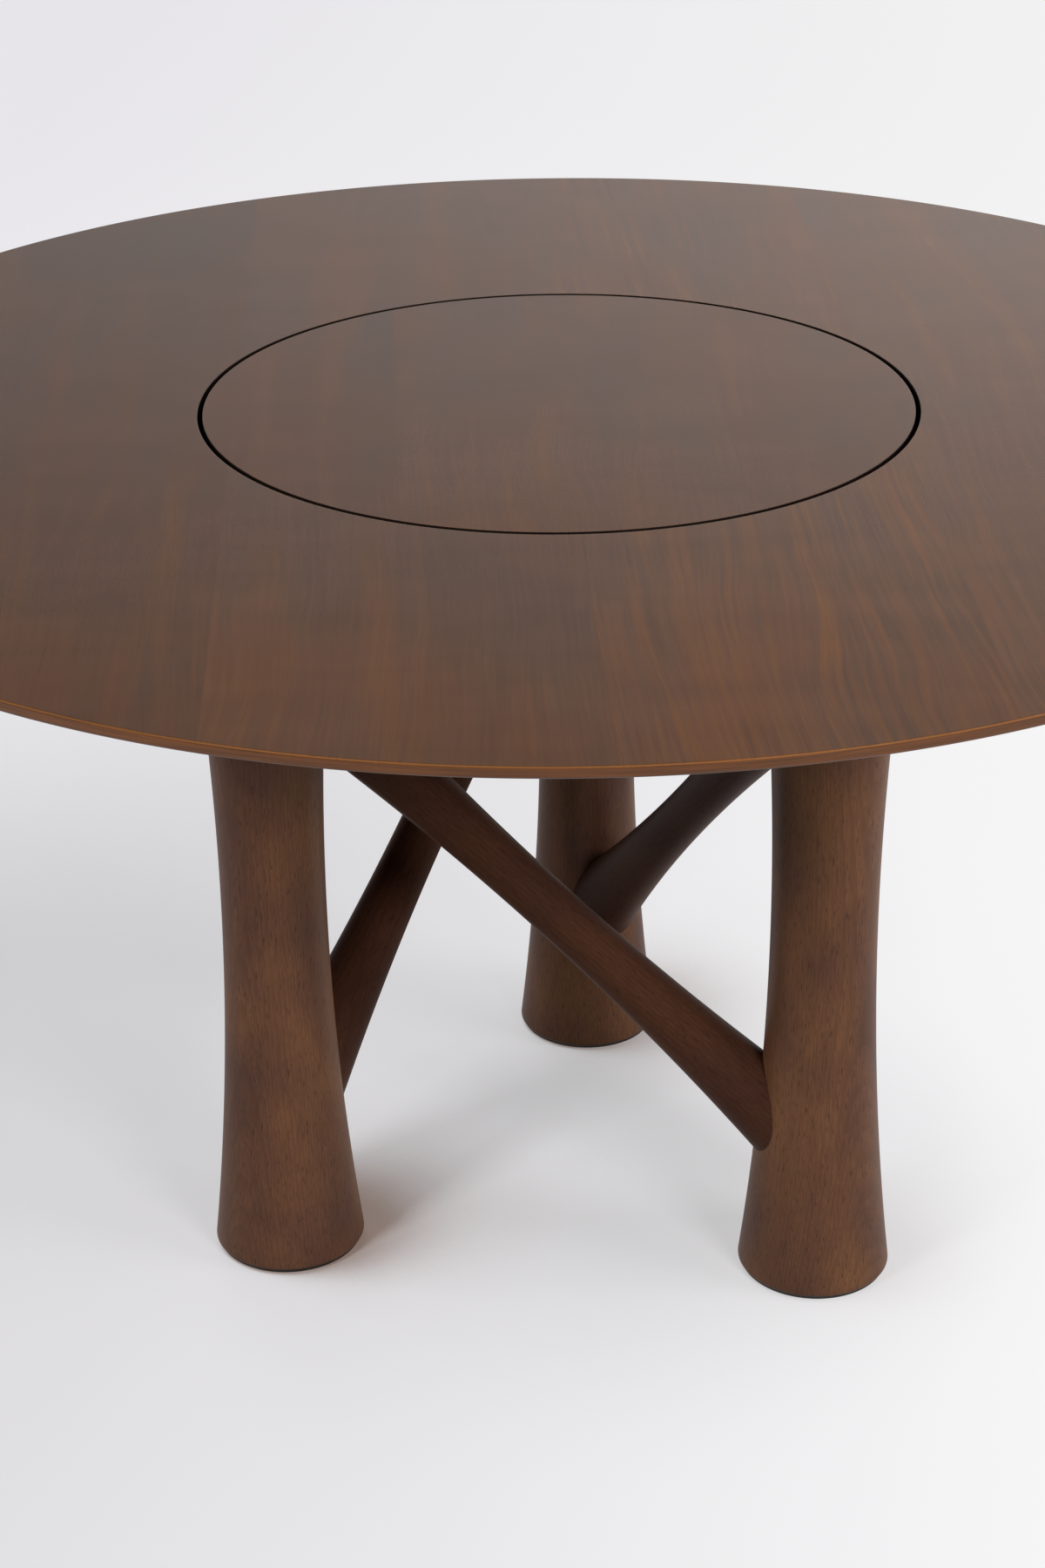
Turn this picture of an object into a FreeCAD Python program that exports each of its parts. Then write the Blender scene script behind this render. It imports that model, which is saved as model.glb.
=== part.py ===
"""Round dining table with an inset turntable, as a parametric document in millimetres.

The origin is on the floor under the middle of the top, +Z is up and one leg stands on +Y.
Three turned legs carry a round well floor, and a veneered ring top is screwed to that floor.
Three turned braces climb from low on one leg to high on the next, their ends hollowed to fit the
legs. The disc in the ring's opening turns on a ring of balls that lies in the well below it.
"""
import FreeCAD, Part
import math
import os
import Sketcher

# Driving dimensions in millimetres, apart from the counts
SIZES = {
    # Whole table
    "table_height": 750.0,
    "top_diameter": 1400.0,
    "leg_circle_diameter": 544.0,
    # Ring top: thin edge, bevelled below, veneered over a core and two lippings
    "edge_thickness": 9.0,
    "edge_round": 2.0,
    "bevel_width": 110.0,
    "edge_lipping_width": 35.0,
    "opening_diameter": 600.0,
    "opening_lipping_width": 12.0,
    "veneer_thickness": 0.9,
    # Turntable disc, level with the top
    "turntable_gap": 4.2,
    "turntable_thickness": 18.0,
    "turntable_lipping_width": 12.0,
    # Ball bearing: two flat rings side by side, with the balls between them
    "bearing_pitch_diameter": 350.0,
    "ball_diameter": 6.0,
    "ball_count": 24,
    "race_clearance": 0.4,
    "race_lip": 0.5,
    "ring_gap": 3.2,
    "ring_lift": 1.5,
    "ring_width": 23.4,
    "cage_side_clearance": 0.4,
    "cage_end_clearance": 0.5,
    # Screws that hold the bearing rings
    "ring_screw_diameter": 4.0,
    "ring_screw_head": 8.0,
    "ring_screw_length": 20.0,
    "ring_screw_count": 8,
    "access_hole_diameter": 14.0,
    # Well floor, and the screws that hold the top on it
    "well_floor_thickness": 22.0,
    "well_floor_chamfer": 10.0,
    "floor_screw_setback": 23.5,
    "floor_edge_distance": 28.0,
    "floor_screw_diameter": 5.0,
    "floor_screw_head": 10.0,
    "floor_screw_length": 40.0,
    "floor_screw_count": 12,
    # Legs, turned to an hourglass
    "leg_waist_diameter": 90.4,
    "leg_flare": 21.3,
    "foot_round": 3.0,
    # Leg fixings: bolt, washer, threaded insert and two dowels each
    "bolt_diameter": 12.0,
    "bolt_head_diameter": 20.0,
    "bolt_head_height": 7.0,
    "bolt_head_depth": 1.0,
    "bolt_length": 42.0,
    "bolt_clearance": 0.5,
    "washer_diameter": 30.0,
    "washer_thickness": 2.5,
    "insert_diameter": 20.0,
    "insert_length": 30.0,
    "leg_dowel_diameter": 10.0,
    "leg_dowel_offset": 40.0,
    "leg_dowel_in_leg": 25.0,
    "leg_dowel_in_floor": 15.0,
    # Foot glides
    "glide_height": 4.0,
    "glide_setback": 7.5,
    "glide_edge_chamfer": 1.0,
    "glide_screw_diameter": 3.5,
    "glide_screw_head": 7.0,
    "glide_screw_length": 25.0,
    "glide_screw_recess": 0.8,
    # Braces, turned to an hourglass, with a dowel in each end
    "brace_low_height": 117.0,
    "brace_high_drop": 120.0,
    "brace_waist_diameter": 43.8,
    "brace_flare": 19.7,
    "brace_dowel_diameter": 20.0,
    "brace_dowel_start": 35.0,
    "brace_dowel_length": 80.0,
    # Room round a screw, dowel, insert or bolt in the piece that takes it
    "fit_clearance": 0.1,
}

# Heights and radii that follow from the driving dimensions
WORKED = {
    "top_radius": "=Sizes.top_diameter / 2",
    "opening_radius": "=Sizes.opening_diameter / 2",
    "veneer_under": "=Sizes.table_height - Sizes.veneer_thickness",
    "rim_under": "=Sizes.table_height - Sizes.edge_thickness",
    "race_radius": "=Sizes.ball_diameter / 2 + Sizes.race_clearance",
    "race_half_height": "=sqrt(race_radius ^ 2 - (Sizes.ring_gap / 2) ^ 2)",
    "ring_thickness": "=2 * race_half_height + 2 * Sizes.race_lip + Sizes.ring_lift",
    "bearing_height": "=ring_thickness + Sizes.ring_lift",
    "well_depth": "=Sizes.turntable_thickness + bearing_height",
    "well_floor_top": "=Sizes.table_height - well_depth",
    "leg_top": "=well_floor_top - Sizes.well_floor_thickness",
    "turntable_under": "=well_floor_top + bearing_height",
    "turntable_radius": "=opening_radius - Sizes.turntable_gap",
    "turntable_core_radius": "=turntable_radius - Sizes.turntable_lipping_width",
    "opening_lipping_outer": "=opening_radius + Sizes.opening_lipping_width",
    "edge_lipping_inner": "=top_radius - Sizes.edge_lipping_width",
    "bevel_start": "=top_radius - Sizes.bevel_width",
    "bevel_slope": "=(rim_under - well_floor_top) / Sizes.bevel_width",
    "lipping_inner_under": "=rim_under - bevel_slope * Sizes.edge_lipping_width",
    "round_start": "=top_radius - Sizes.edge_round",
    "round_depth_left": "=Sizes.edge_round - Sizes.veneer_thickness",
    "veneer_edge": "=round_start + sqrt(Sizes.edge_round ^ 2 - round_depth_left ^ 2)",
    "pitch_radius": "=Sizes.bearing_pitch_diameter / 2",
    "ball_height": "=well_floor_top + bearing_height / 2",
    "outer_ring_inside": "=pitch_radius + Sizes.ring_gap / 2",
    "inner_ring_outside": "=pitch_radius - Sizes.ring_gap / 2",
    "outer_ring_screws": "=outer_ring_inside + Sizes.ring_width / 2",
    "inner_ring_screws": "=inner_ring_outside - Sizes.ring_width / 2",
    "inner_ring_under": "=turntable_under - ring_thickness",
    "leg_circle": "=Sizes.leg_circle_diameter / 2",
    "leg_end_radius": "=Sizes.leg_waist_diameter / 2 + Sizes.leg_flare",
    "leg_waist_height": "=(leg_top + Sizes.glide_height + Sizes.foot_round) / 2",
    "floor_screws": "=max(leg_circle + leg_end_radius; opening_lipping_outer) + Sizes.floor_screw_setback",
    "well_floor_radius": "=floor_screws + Sizes.floor_edge_distance",
    "bolt_head_top": "=well_floor_top - Sizes.bolt_head_depth",
    "washer_top": "=bolt_head_top - Sizes.bolt_head_height",
    "washer_under": "=washer_top - Sizes.washer_thickness",
    "bolt_tip": "=washer_top - Sizes.bolt_length",
    "bolt_hole_radius": "=Sizes.bolt_diameter / 2 + Sizes.bolt_clearance",
    "washer_hole_radius": "=Sizes.washer_diameter / 2 + Sizes.bolt_clearance",
    "glide_radius": "=leg_end_radius - Sizes.glide_setback",
    "brace_high_height": "=leg_top - Sizes.brace_high_drop",
    "brace_span": "=leg_circle * sqrt(3)",
    "brace_rise": "=brace_high_height - Sizes.brace_low_height",
    "brace_length": "=sqrt(brace_span ^ 2 + brace_rise ^ 2)",
    "brace_tilt": "=90 - atan2(brace_rise; brace_span) / 1deg",
    "brace_end_radius": "=Sizes.brace_waist_diameter / 2 + Sizes.brace_flare",
    "brace_dowel_high": "=brace_length - Sizes.brace_dowel_start - Sizes.brace_dowel_length",
}

# The legs stand evenly round the table, the first at this angle from +X in degrees
LEG_NAMES = ["right", "back", "left"]
FIRST_LEG_ANGLE = -30
LEG_ANGLES = {name: FIRST_LEG_ANGLE + 360 * turn // len(LEG_NAMES) for turn, name in enumerate(LEG_NAMES)}
# Each brace leaves the first leg low and reaches the second leg high
BRACE_ROUTES = [("right", "left"), ("left", "back"), ("back", "right")]
# A brace sets off at this angle from the line between the table's middle and its low leg
BRACE_HEADING = -150

LEFT, RIGHT = 1, -1

doc = FreeCAD.newDocument("round_table")
pieces = []


def fill_sheet(name, cells):
    """Put each named value or formula in a row of a new spreadsheet."""
    sheet = doc.addObject("Spreadsheet::Sheet", name)
    for row, (alias, content) in enumerate(cells.items(), start=1):
        sheet.set(f"A{row}", alias)
        sheet.set(f"B{row}", str(content))
        sheet.setAlias(f"B{row}", alias)
    doc.recompute()
    return sheet


def number(formula):
    """Work a formula out now, to draw a sketch close to where its constraints will hold it."""
    value = sizes.evalExpression(formula)
    return float(getattr(value, "Value", value))


def keep(item, label):
    """Name a finished sub-part and list it for writing."""
    item.Label = label
    pieces.append(item)
    return item


def origin_feature(body, role):
    """Find one of a body's own origin planes or axes."""
    return next(part for part in body.Origin.OriginFeatures if part.Role == role)


def arc_between(start, end, radius, side):
    """Arc from start to end that bulges to the given side of the way there, and its end numbers.

    A sketch counts an arc's ends anticlockwise, so the ends of one that bulges left are swapped.
    """
    way = end - start
    across = FreeCAD.Vector(-way.y, way.x, 0).normalize()
    inward = math.sqrt(max(radius ** 2 - (way.Length / 2) ** 2, 0.0))
    centre = (start + end) / 2 - across * (inward * side)
    first, last = (start, end) if side == RIGHT else (end, start)
    angles = [math.atan2(spot.y - centre.y, spot.x - centre.x) for spot in (first, last)]
    circle = Part.Circle(centre, FreeCAD.Vector(0, 0, 1), radius)
    return Part.ArcOfCircle(circle, *angles), (1, 2) if side == RIGHT else (2, 1)


def outline(body, plane, points, arcs=None, hollows=None, axis=False):
    """Sketch a closed outline of (distance from the turning axis, height) points.

    arcs gives a radius and a side for each edge that is a round, by the number of its first point.
    hollows gives a depth and a height of deepest draw for each edge that is drawn in to a waist.
    With axis true, the line from the last point to the first is also drawn as a turning axis.
    """
    arcs = arcs or {}
    hollows = hollows or {}
    sketch = body.newObject("Sketcher::SketchObject", body.Name + "_outline")
    sketch.AttachmentSupport = [(origin_feature(body, plane), "")]
    sketch.MapMode = "FlatFace"
    corners = [FreeCAD.Vector(number(across), number(up), 0) for across, up in points]
    ends = []
    for index, start in enumerate(corners):
        end = corners[(index + 1) % len(corners)]
        edge, edge_ends = Part.LineSegment(start, end), (1, 2)
        if index in arcs:
            radius, side = arcs[index]
            edge, edge_ends = arc_between(start, end, number(radius), side)
        if index in hollows:
            edge = drawn_in(start, end, *hollows[index])
        sketch.addGeometry(edge, False)
        ends.append(edge_ends)
    for index in range(len(corners)):
        after = (index + 1) % len(corners)
        sketch.addConstraint(Sketcher.Constraint("Coincident", index, ends[index][1], after, ends[after][0]))
    for index, (across, up) in enumerate(points):
        spot, end = corners[index], ends[index][0]
        bind(sketch, Sketcher.Constraint("DistanceX", -1, 1, index, end, spot.x), f"Across{index}", across)
        bind(sketch, Sketcher.Constraint("DistanceY", -1, 1, index, end, spot.y), f"Up{index}", up)
    for index, (radius, side) in arcs.items():
        bind(sketch, Sketcher.Constraint("Radius", index, number(radius)), f"Radius{index}", radius)
    if axis:
        line = sketch.addGeometry(Part.LineSegment(corners[0], corners[-1]), True)
        sketch.addConstraint(Sketcher.Constraint("Coincident", line, 1, 0, ends[0][0]))
        sketch.addConstraint(Sketcher.Constraint("Coincident", line, 2, len(corners) - 1, ends[-1][0]))
    for index, (depth, height) in hollows.items():
        middle_pole = len(sketch.Geometry) + 1
        sketch.exposeInternalGeometry(index)
        reach = f"2 * {depth}"
        draw = Sketcher.Constraint("DistanceX", middle_pole, 3, index, 1, number(reach))
        waist = Sketcher.Constraint("DistanceY", -1, 1, middle_pole, 3, number(height))
        bind(sketch, draw, f"Draw{index}", reach)
        bind(sketch, waist, f"Waist{index}", height)
    return sketch


def drawn_in(start, end, depth, height):
    """Parabola from start to end that is drawn in by depth at the given height."""
    curve = Part.BezierCurve()
    curve.setPoles([start, FreeCAD.Vector(start.x - 2 * number(depth), number(height), 0), end])
    return curve.toBSpline()


def bind(sketch, constraint, name, formula):
    """Add a named constraint whose value follows a formula."""
    sketch.renameConstraint(sketch.addConstraint(constraint), name)
    sketch.setExpression("Constraints." + name, formula)


def turned(name, points, arcs=None, hollows=None):
    """Body turned about its own upright axis from an outline of (radius, height) points."""
    body = doc.addObject("PartDesign::Body", name)
    turn = body.newObject("PartDesign::Revolution", name + "_turning")
    turn.Profile = outline(body, "XZ_Plane", points, arcs, hollows)
    turn.ReferenceAxis = (turn.Profile[0], ["V_Axis"])
    body.Tip = turn
    doc.recompute()
    return body


def turned_set(name, plane, outlines, count):
    """Body of equal turned solids set round the table's axis.

    Each outline starts and ends on its own upright axis, or has its last point and first point
    on a line parallel to it when the solid has a bore.
    """
    body = doc.addObject("PartDesign::Body", name)
    turns = []
    for points, axis_at in outlines:
        turn = body.newObject("PartDesign::Revolution", name + "_turning")
        turn.Profile = outline(body, plane, points, axis=axis_at is None)
        turn.ReferenceAxis = (turn.Profile[0], ["Axis0"])
        if axis_at is not None:
            add_axis(turn.Profile[0], points, axis_at)
        turns.append(turn)
        doc.recompute()
    return set_round(body, turns, count)


def add_axis(sketch, points, axis_at):
    """Draw the turning axis of a solid with a bore, beside its outline."""
    foot = FreeCAD.Vector(number(axis_at), number(points[0][1]), 0)
    head = FreeCAD.Vector(number(axis_at), number(points[-1][1]), 0)
    line = sketch.addGeometry(Part.LineSegment(foot, head), True)
    for end, place in ((1, foot), (2, head)):
        height = points[0][1] if end == 1 else points[-1][1]
        bind(sketch, Sketcher.Constraint("DistanceX", -1, 1, line, end, place.x), f"AxisX{end}", axis_at)
        bind(sketch, Sketcher.Constraint("DistanceY", -1, 1, line, end, place.y), f"AxisY{end}", height)


def set_round(body, features, count):
    """Repeat features of a body evenly round the table's axis."""
    pattern = body.newObject("PartDesign::PolarPattern", body.Name + "_set")
    pattern.Originals = features
    pattern.Axis = (origin_feature(body, "Z_Axis"), [""])
    pattern.Angle = 360
    pattern.setExpression("Occurrences", count)
    body.Tip = pattern
    doc.recompute()
    return body


def screw_outline(axis, head_at, way, diameter, head, length, room=None, mouth=None):
    """Outline of a countersunk screw, or of its hole when room and mouth are given.

    way is + for a screw that points up from head_at and - for one that points down.
    """
    back = "-" if way == "+" else "+"
    slack = room or "0"
    head_edge = f"{axis} + {head} / 2 + {slack}"
    shank_edge = f"{axis} + {diameter} / 2 + {slack}"
    rest = [
        (shank_edge, f"{head_at} {way} ({head} - {diameter}) / 2"),
        (shank_edge, f"{head_at} {way} ({length} - {diameter} / 2)"),
        (axis, f"{head_at} {way} ({length} + {slack})"),
    ]
    if room is None:
        return [(axis, head_at), (head_edge, head_at)] + rest
    opening = f"{head_at} {back} {mouth}"
    return [(axis, opening), (head_edge, opening), (head_edge, head_at)] + rest


def rod_outline(axis, radius, low, high):
    """Outline of a plain round rod, half of its section."""
    return [(axis, low), (f"{axis} + {radius}", low), (f"{axis} + {radius}", high), (axis, high)]


def tube_outline(axis, inside, outside, low, high):
    """Outline of one wall of a plain round tube."""
    near, far = f"{axis} + {inside}", f"{axis} + {outside}"
    return [(near, low), (far, low), (far, high), (near, high)]


def joined(name, items):
    """Fuse items into one cutting shape."""
    fusion = doc.addObject("Part::MultiFuse", name)
    fusion.Shapes = items
    doc.recompute()
    return fusion


def cut(base, tool, label):
    """Finished sub-part: base with tool taken out of it, which has to remove something."""
    result = doc.addObject("Part::Cut", label)
    result.Base = base
    result.Tool = tool
    doc.recompute()
    if result.Shape.Volume >= base.Shape.Volume - 1e-6:
        raise RuntimeError(f"{label}: the cut removed nothing")
    return keep(result, label)


def place_on_leg(item, angle):
    """Stand an item that was drawn on the table's axis at one leg's place."""
    spot = f"vector(Worked.leg_circle * cos({angle} deg); Worked.leg_circle * sin({angle} deg); 0)"
    item.setExpression("Placement", f"placement({spot}; rotationz({angle} deg))")
    doc.recompute()


def place_on_brace(item, angle, along):
    """Put an item that points up along a brace, a given way from the axis of its low leg."""
    heading = f"{angle + BRACE_HEADING} deg"
    reach = f"({along}) * sin(Worked.brace_tilt * 1 deg)"
    across = f"Worked.leg_circle * cos({angle} deg) + {reach} * cos({heading})"
    aside = f"Worked.leg_circle * sin({angle} deg) + {reach} * sin({heading})"
    up = f"Sizes.brace_low_height + ({along}) * cos(Worked.brace_tilt * 1 deg)"
    turn = f"rotationz({heading}) * rotationy(Worked.brace_tilt * 1 deg)"
    item.setExpression("Placement", f"placement(vector({across}; {aside}; {up}); {turn})")
    doc.recompute()


def screw_set(name, plane, axis, head_at, way, kind, count, mouth):
    """A ring of countersunk screws as a sub-part, and the holes that they need."""
    measures = (f"Sizes.{kind}_diameter", f"Sizes.{kind}_head", f"Sizes.{kind}_length")
    screws = screw_outline(axis, head_at, way, *measures)
    holes = screw_outline(axis, head_at, way, *measures, room="Sizes.fit_clearance", mouth=mouth)
    keep(turned_set(name, plane, [(screws, None)], count), name)
    return turned_set(name + "_holes", plane, [(holes, None)], count)


def make_top(floor_holes):
    """Ring top: core, edge lipping, lining of the opening, and the veneer over all three."""
    core = turned("top_core_blank", [
        ("Worked.opening_lipping_outer", "Worked.well_floor_top"),
        ("Worked.bevel_start", "Worked.well_floor_top"),
        ("Worked.edge_lipping_inner", "Worked.lipping_inner_under"),
        ("Worked.edge_lipping_inner", "Worked.veneer_under"),
        ("Worked.opening_lipping_outer", "Worked.veneer_under"),
    ])
    cut(core, floor_holes, "top_core")
    keep(turned("edge_lipping", [
        ("Worked.edge_lipping_inner", "Worked.lipping_inner_under"),
        ("Worked.top_radius", "Worked.rim_under"),
        ("Worked.top_radius", "Sizes.table_height - Sizes.edge_round"),
        ("Worked.veneer_edge", "Worked.veneer_under"),
        ("Worked.edge_lipping_inner", "Worked.veneer_under"),
    ], {2: ("Sizes.edge_round", RIGHT)}), "top_edge_lipping")
    keep(turned("opening_lipping", [
        ("Worked.opening_radius", "Worked.well_floor_top"),
        ("Worked.opening_lipping_outer", "Worked.well_floor_top"),
        ("Worked.opening_lipping_outer", "Worked.veneer_under"),
        ("Worked.opening_radius", "Worked.veneer_under"),
    ]), "top_opening_lipping")
    keep(turned("ring_veneer", [
        ("Worked.opening_radius", "Worked.veneer_under"),
        ("Worked.veneer_edge", "Worked.veneer_under"),
        ("Worked.round_start", "Sizes.table_height"),
        ("Worked.opening_radius + Sizes.veneer_thickness", "Sizes.table_height"),
    ], {1: ("Sizes.edge_round", RIGHT), 3: ("Sizes.veneer_thickness", RIGHT)}), "top_veneer")


def make_turntable(ring_holes):
    """Turntable disc: core, edge lipping and veneer, level with the top."""
    core = turned("turntable_core_blank", [
        ("0", "Worked.turntable_under"),
        ("Worked.turntable_core_radius", "Worked.turntable_under"),
        ("Worked.turntable_core_radius", "Worked.veneer_under"),
        ("0", "Worked.veneer_under"),
    ])
    cut(core, ring_holes, "turntable_core")
    keep(turned("disc_lipping", [
        ("Worked.turntable_core_radius", "Worked.turntable_under"),
        ("Worked.turntable_radius", "Worked.turntable_under"),
        ("Worked.turntable_radius", "Worked.veneer_under"),
        ("Worked.turntable_core_radius", "Worked.veneer_under"),
    ]), "turntable_lipping")
    keep(turned("disc_veneer", [
        ("0", "Worked.veneer_under"),
        ("Worked.turntable_radius", "Worked.veneer_under"),
        ("Worked.turntable_radius - Sizes.veneer_thickness", "Sizes.table_height"),
        ("0", "Sizes.table_height"),
    ], {1: ("Sizes.veneer_thickness", RIGHT)}), "turntable_veneer")


def make_bearing(base_holes, disc_holes):
    """Ball bearing: a fixed outer ring, a turning inner ring, the balls and their cage."""
    outer_far = "Worked.outer_ring_inside + Sizes.ring_width"
    outer_top = "Worked.well_floor_top + Worked.ring_thickness"
    outer = turned("outer_ring_blank", [
        ("Worked.outer_ring_inside", "Worked.well_floor_top"),
        (outer_far, "Worked.well_floor_top"),
        (outer_far, outer_top),
        ("Worked.outer_ring_inside", outer_top),
        ("Worked.outer_ring_inside", "Worked.ball_height + Worked.race_half_height"),
        ("Worked.outer_ring_inside", "Worked.ball_height - Worked.race_half_height"),
    ], {4: ("Worked.race_radius", LEFT)})
    cut(outer, base_holes, "bearing_outer_ring")
    inner_near = "Worked.inner_ring_outside - Sizes.ring_width"
    inner = turned("inner_ring_blank", [
        (inner_near, "Worked.inner_ring_under"),
        ("Worked.inner_ring_outside", "Worked.inner_ring_under"),
        ("Worked.inner_ring_outside", "Worked.ball_height - Worked.race_half_height"),
        ("Worked.inner_ring_outside", "Worked.ball_height + Worked.race_half_height"),
        ("Worked.inner_ring_outside", "Worked.turntable_under"),
        (inner_near, "Worked.turntable_under"),
    ], {2: ("Worked.race_radius", LEFT)})
    cut(inner, disc_holes, "bearing_inner_ring")
    cage = turned("cage", tube_outline(
        "0", "Worked.inner_ring_outside + Sizes.cage_side_clearance",
        "Worked.outer_ring_inside - Sizes.cage_side_clearance",
        "Worked.well_floor_top + Sizes.cage_end_clearance",
        "Worked.turntable_under - Sizes.cage_end_clearance"))
    pocket = cage.newObject("PartDesign::SubtractiveCylinder", "ball_pocket")
    pocket.setExpression("Radius", "Worked.race_radius")
    pocket.setExpression("Height", "Sizes.ring_gap")
    place_on_pitch(pocket, "Worked.inner_ring_outside", "rotationy(90 deg)")
    keep(set_round(cage, [pocket], "Sizes.ball_count"), "ball_cage")
    balls = doc.addObject("PartDesign::Body", "balls")
    ball = balls.newObject("PartDesign::AdditiveSphere", "ball")
    ball.setExpression("Radius", "Sizes.ball_diameter / 2")
    place_on_pitch(ball, "Worked.pitch_radius", "rotationz(0 deg)")
    keep(set_round(balls, [ball], "Sizes.ball_count"), "bearing_balls")


def place_on_pitch(feature, across, turn):
    """Put the first ball, or the pocket for it, level with the middle of the races."""
    feature.setExpression("Placement", f"placement(vector({across}; 0; Worked.ball_height); {turn})")
    doc.recompute()


def make_leg_fixings():
    """Bolts, washers, inserts and dowels of the legs. Returns the holes that they need."""
    axis = "Worked.leg_circle"
    shank = "Sizes.bolt_diameter / 2"
    bolt = [
        (axis, "Worked.bolt_tip"),
        (f"{axis} + {shank}", "Worked.bolt_tip"),
        (f"{axis} + {shank}", "Worked.washer_top"),
        (f"{axis} + Sizes.bolt_head_diameter / 2", "Worked.washer_top"),
        (f"{axis} + Sizes.bolt_head_diameter / 2", "Worked.bolt_head_top"),
        (axis, "Worked.bolt_head_top"),
    ]
    bolt_hole = [
        (axis, "Worked.bolt_tip - Sizes.bolt_clearance"),
        (f"{axis} + Worked.bolt_hole_radius", "Worked.bolt_tip - Sizes.bolt_clearance"),
        (f"{axis} + Worked.bolt_hole_radius", "Worked.washer_under"),
        (f"{axis} + Worked.washer_hole_radius", "Worked.washer_under"),
        (f"{axis} + Worked.washer_hole_radius", "Worked.well_floor_top"),
        (axis, "Worked.well_floor_top"),
    ]
    count = str(len(LEG_ANGLES))
    around_bolt = f"{shank} + Sizes.fit_clearance"
    washer_edge = "Sizes.washer_diameter / 2"
    washer = tube_outline(axis, around_bolt, washer_edge, "Worked.washer_under", "Worked.washer_top")
    insert_low = "Worked.leg_top - Sizes.insert_length"
    insert_edge = "Sizes.insert_diameter / 2"
    insert = tube_outline(axis, around_bolt, insert_edge, insert_low, "Worked.leg_top")
    insert_hole = rod_outline(axis, f"({insert_edge} + Sizes.fit_clearance)", insert_low, "Worked.leg_top")
    keep(turned_set("leg_bolts", "YZ_Plane", [(bolt, None)], count), "leg_bolts")
    keep(turned_set("leg_bolt_washers", "YZ_Plane", [(washer, axis)], count), "leg_bolt_washers")
    keep(turned_set("leg_inserts", "YZ_Plane", [(insert, axis)], count), "leg_inserts")
    dowels, dowel_holes = [], []
    for side in ("-", "+"):
        dowel_axis = f"{axis} {side} Sizes.leg_dowel_offset"
        low = "Worked.leg_top - Sizes.leg_dowel_in_leg"
        high = "Worked.leg_top + Sizes.leg_dowel_in_floor"
        dowels.append((rod_outline(dowel_axis, "Sizes.leg_dowel_diameter / 2", low, high), None))
        wide = "(Sizes.leg_dowel_diameter / 2 + Sizes.fit_clearance)"
        ends = (f"{low} - Sizes.fit_clearance", f"{high} + Sizes.fit_clearance")
        dowel_holes.append((rod_outline(dowel_axis, wide, *ends), None))
    keep(turned_set("leg_dowels", "YZ_Plane", dowels, count), "leg_dowels")
    return [
        turned_set("leg_bolt_holes", "YZ_Plane", [(bolt_hole, None)], count),
        turned_set("leg_insert_holes", "YZ_Plane", [(insert_hole, None)], count),
        turned_set("leg_dowel_holes", "YZ_Plane", dowel_holes, count),
    ]


def make_well_floor(holes):
    """Round panel that closes the well, carries the bearing and ties the legs to the top."""
    blank = turned("well_floor_blank", [
        ("0", "Worked.leg_top"),
        ("Worked.well_floor_radius - Sizes.well_floor_chamfer", "Worked.leg_top"),
        ("Worked.well_floor_radius", "Worked.leg_top + Sizes.well_floor_chamfer"),
        ("Worked.well_floor_radius", "Worked.well_floor_top"),
        ("0", "Worked.well_floor_top"),
    ])
    # One hole below the inner ring's screw circle lets a driver reach those screws in turn
    access_radius = "Sizes.access_hole_diameter / 2"
    access = rod_outline("Worked.inner_ring_screws", access_radius, "Worked.leg_top", "Worked.well_floor_top")
    access_hole = turned_set("access_hole", "YZ_Plane", [(access, None)], "1")
    cut(blank, joined("well_floor_holes", holes + [access_hole]), "well_floor")


def make_leg_blank(angle, name):
    """Leg as it comes off the lathe, before its holes are bored."""
    blank = turned(f"leg_{name}_blank", [
        ("0", "Sizes.glide_height"),
        ("Worked.leg_end_radius - Sizes.foot_round", "Sizes.glide_height"),
        ("Worked.leg_end_radius", "Sizes.glide_height + Sizes.foot_round"),
        ("Worked.leg_end_radius", "Worked.leg_top"),
        ("0", "Worked.leg_top"),
    ], {1: ("Sizes.foot_round", RIGHT)}, {2: ("Sizes.leg_flare", "Worked.leg_waist_height")})
    place_on_leg(blank, angle)
    return blank


def make_glide(angle, name, screw_holes):
    """Foot glide: a flat disc, set back from the leg's edge, with its lower edge eased."""
    blank = turned(f"glide_{name}_blank", [
        ("0", "0"),
        ("Worked.glide_radius - Sizes.glide_edge_chamfer", "0"),
        ("Worked.glide_radius", "Sizes.glide_edge_chamfer"),
        ("Worked.glide_radius", "Sizes.glide_height"),
        ("0", "Sizes.glide_height"),
    ])
    place_on_leg(blank, angle)
    cut(blank, screw_holes, f"foot_glide_{name}")


def make_brace_dowels(label, along):
    """The dowels at one end of the braces. Returns the holes that they need."""
    rods, holes = [], []
    for low_leg, high_leg in BRACE_ROUTES:
        angle = LEG_ANGLES[low_leg]
        rod = doc.addObject("Part::Cylinder", f"{label}_{low_leg}")
        rod.setExpression("Radius", "Sizes.brace_dowel_diameter / 2")
        rod.setExpression("Height", "Sizes.brace_dowel_length")
        place_on_brace(rod, angle, along)
        rods.append(rod)
        hole = doc.addObject("Part::Cylinder", f"{label}_hole_{low_leg}")
        hole.setExpression("Radius", "Sizes.brace_dowel_diameter / 2 + Sizes.fit_clearance")
        hole.setExpression("Height", "Sizes.brace_dowel_length + 2 * Sizes.fit_clearance")
        place_on_brace(hole, angle, f"{along} - Sizes.fit_clearance")
        holes.append(hole)
    group = doc.addObject("Part::Compound", label)
    group.Links = rods
    doc.recompute()
    keep(group, label)
    return holes


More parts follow.
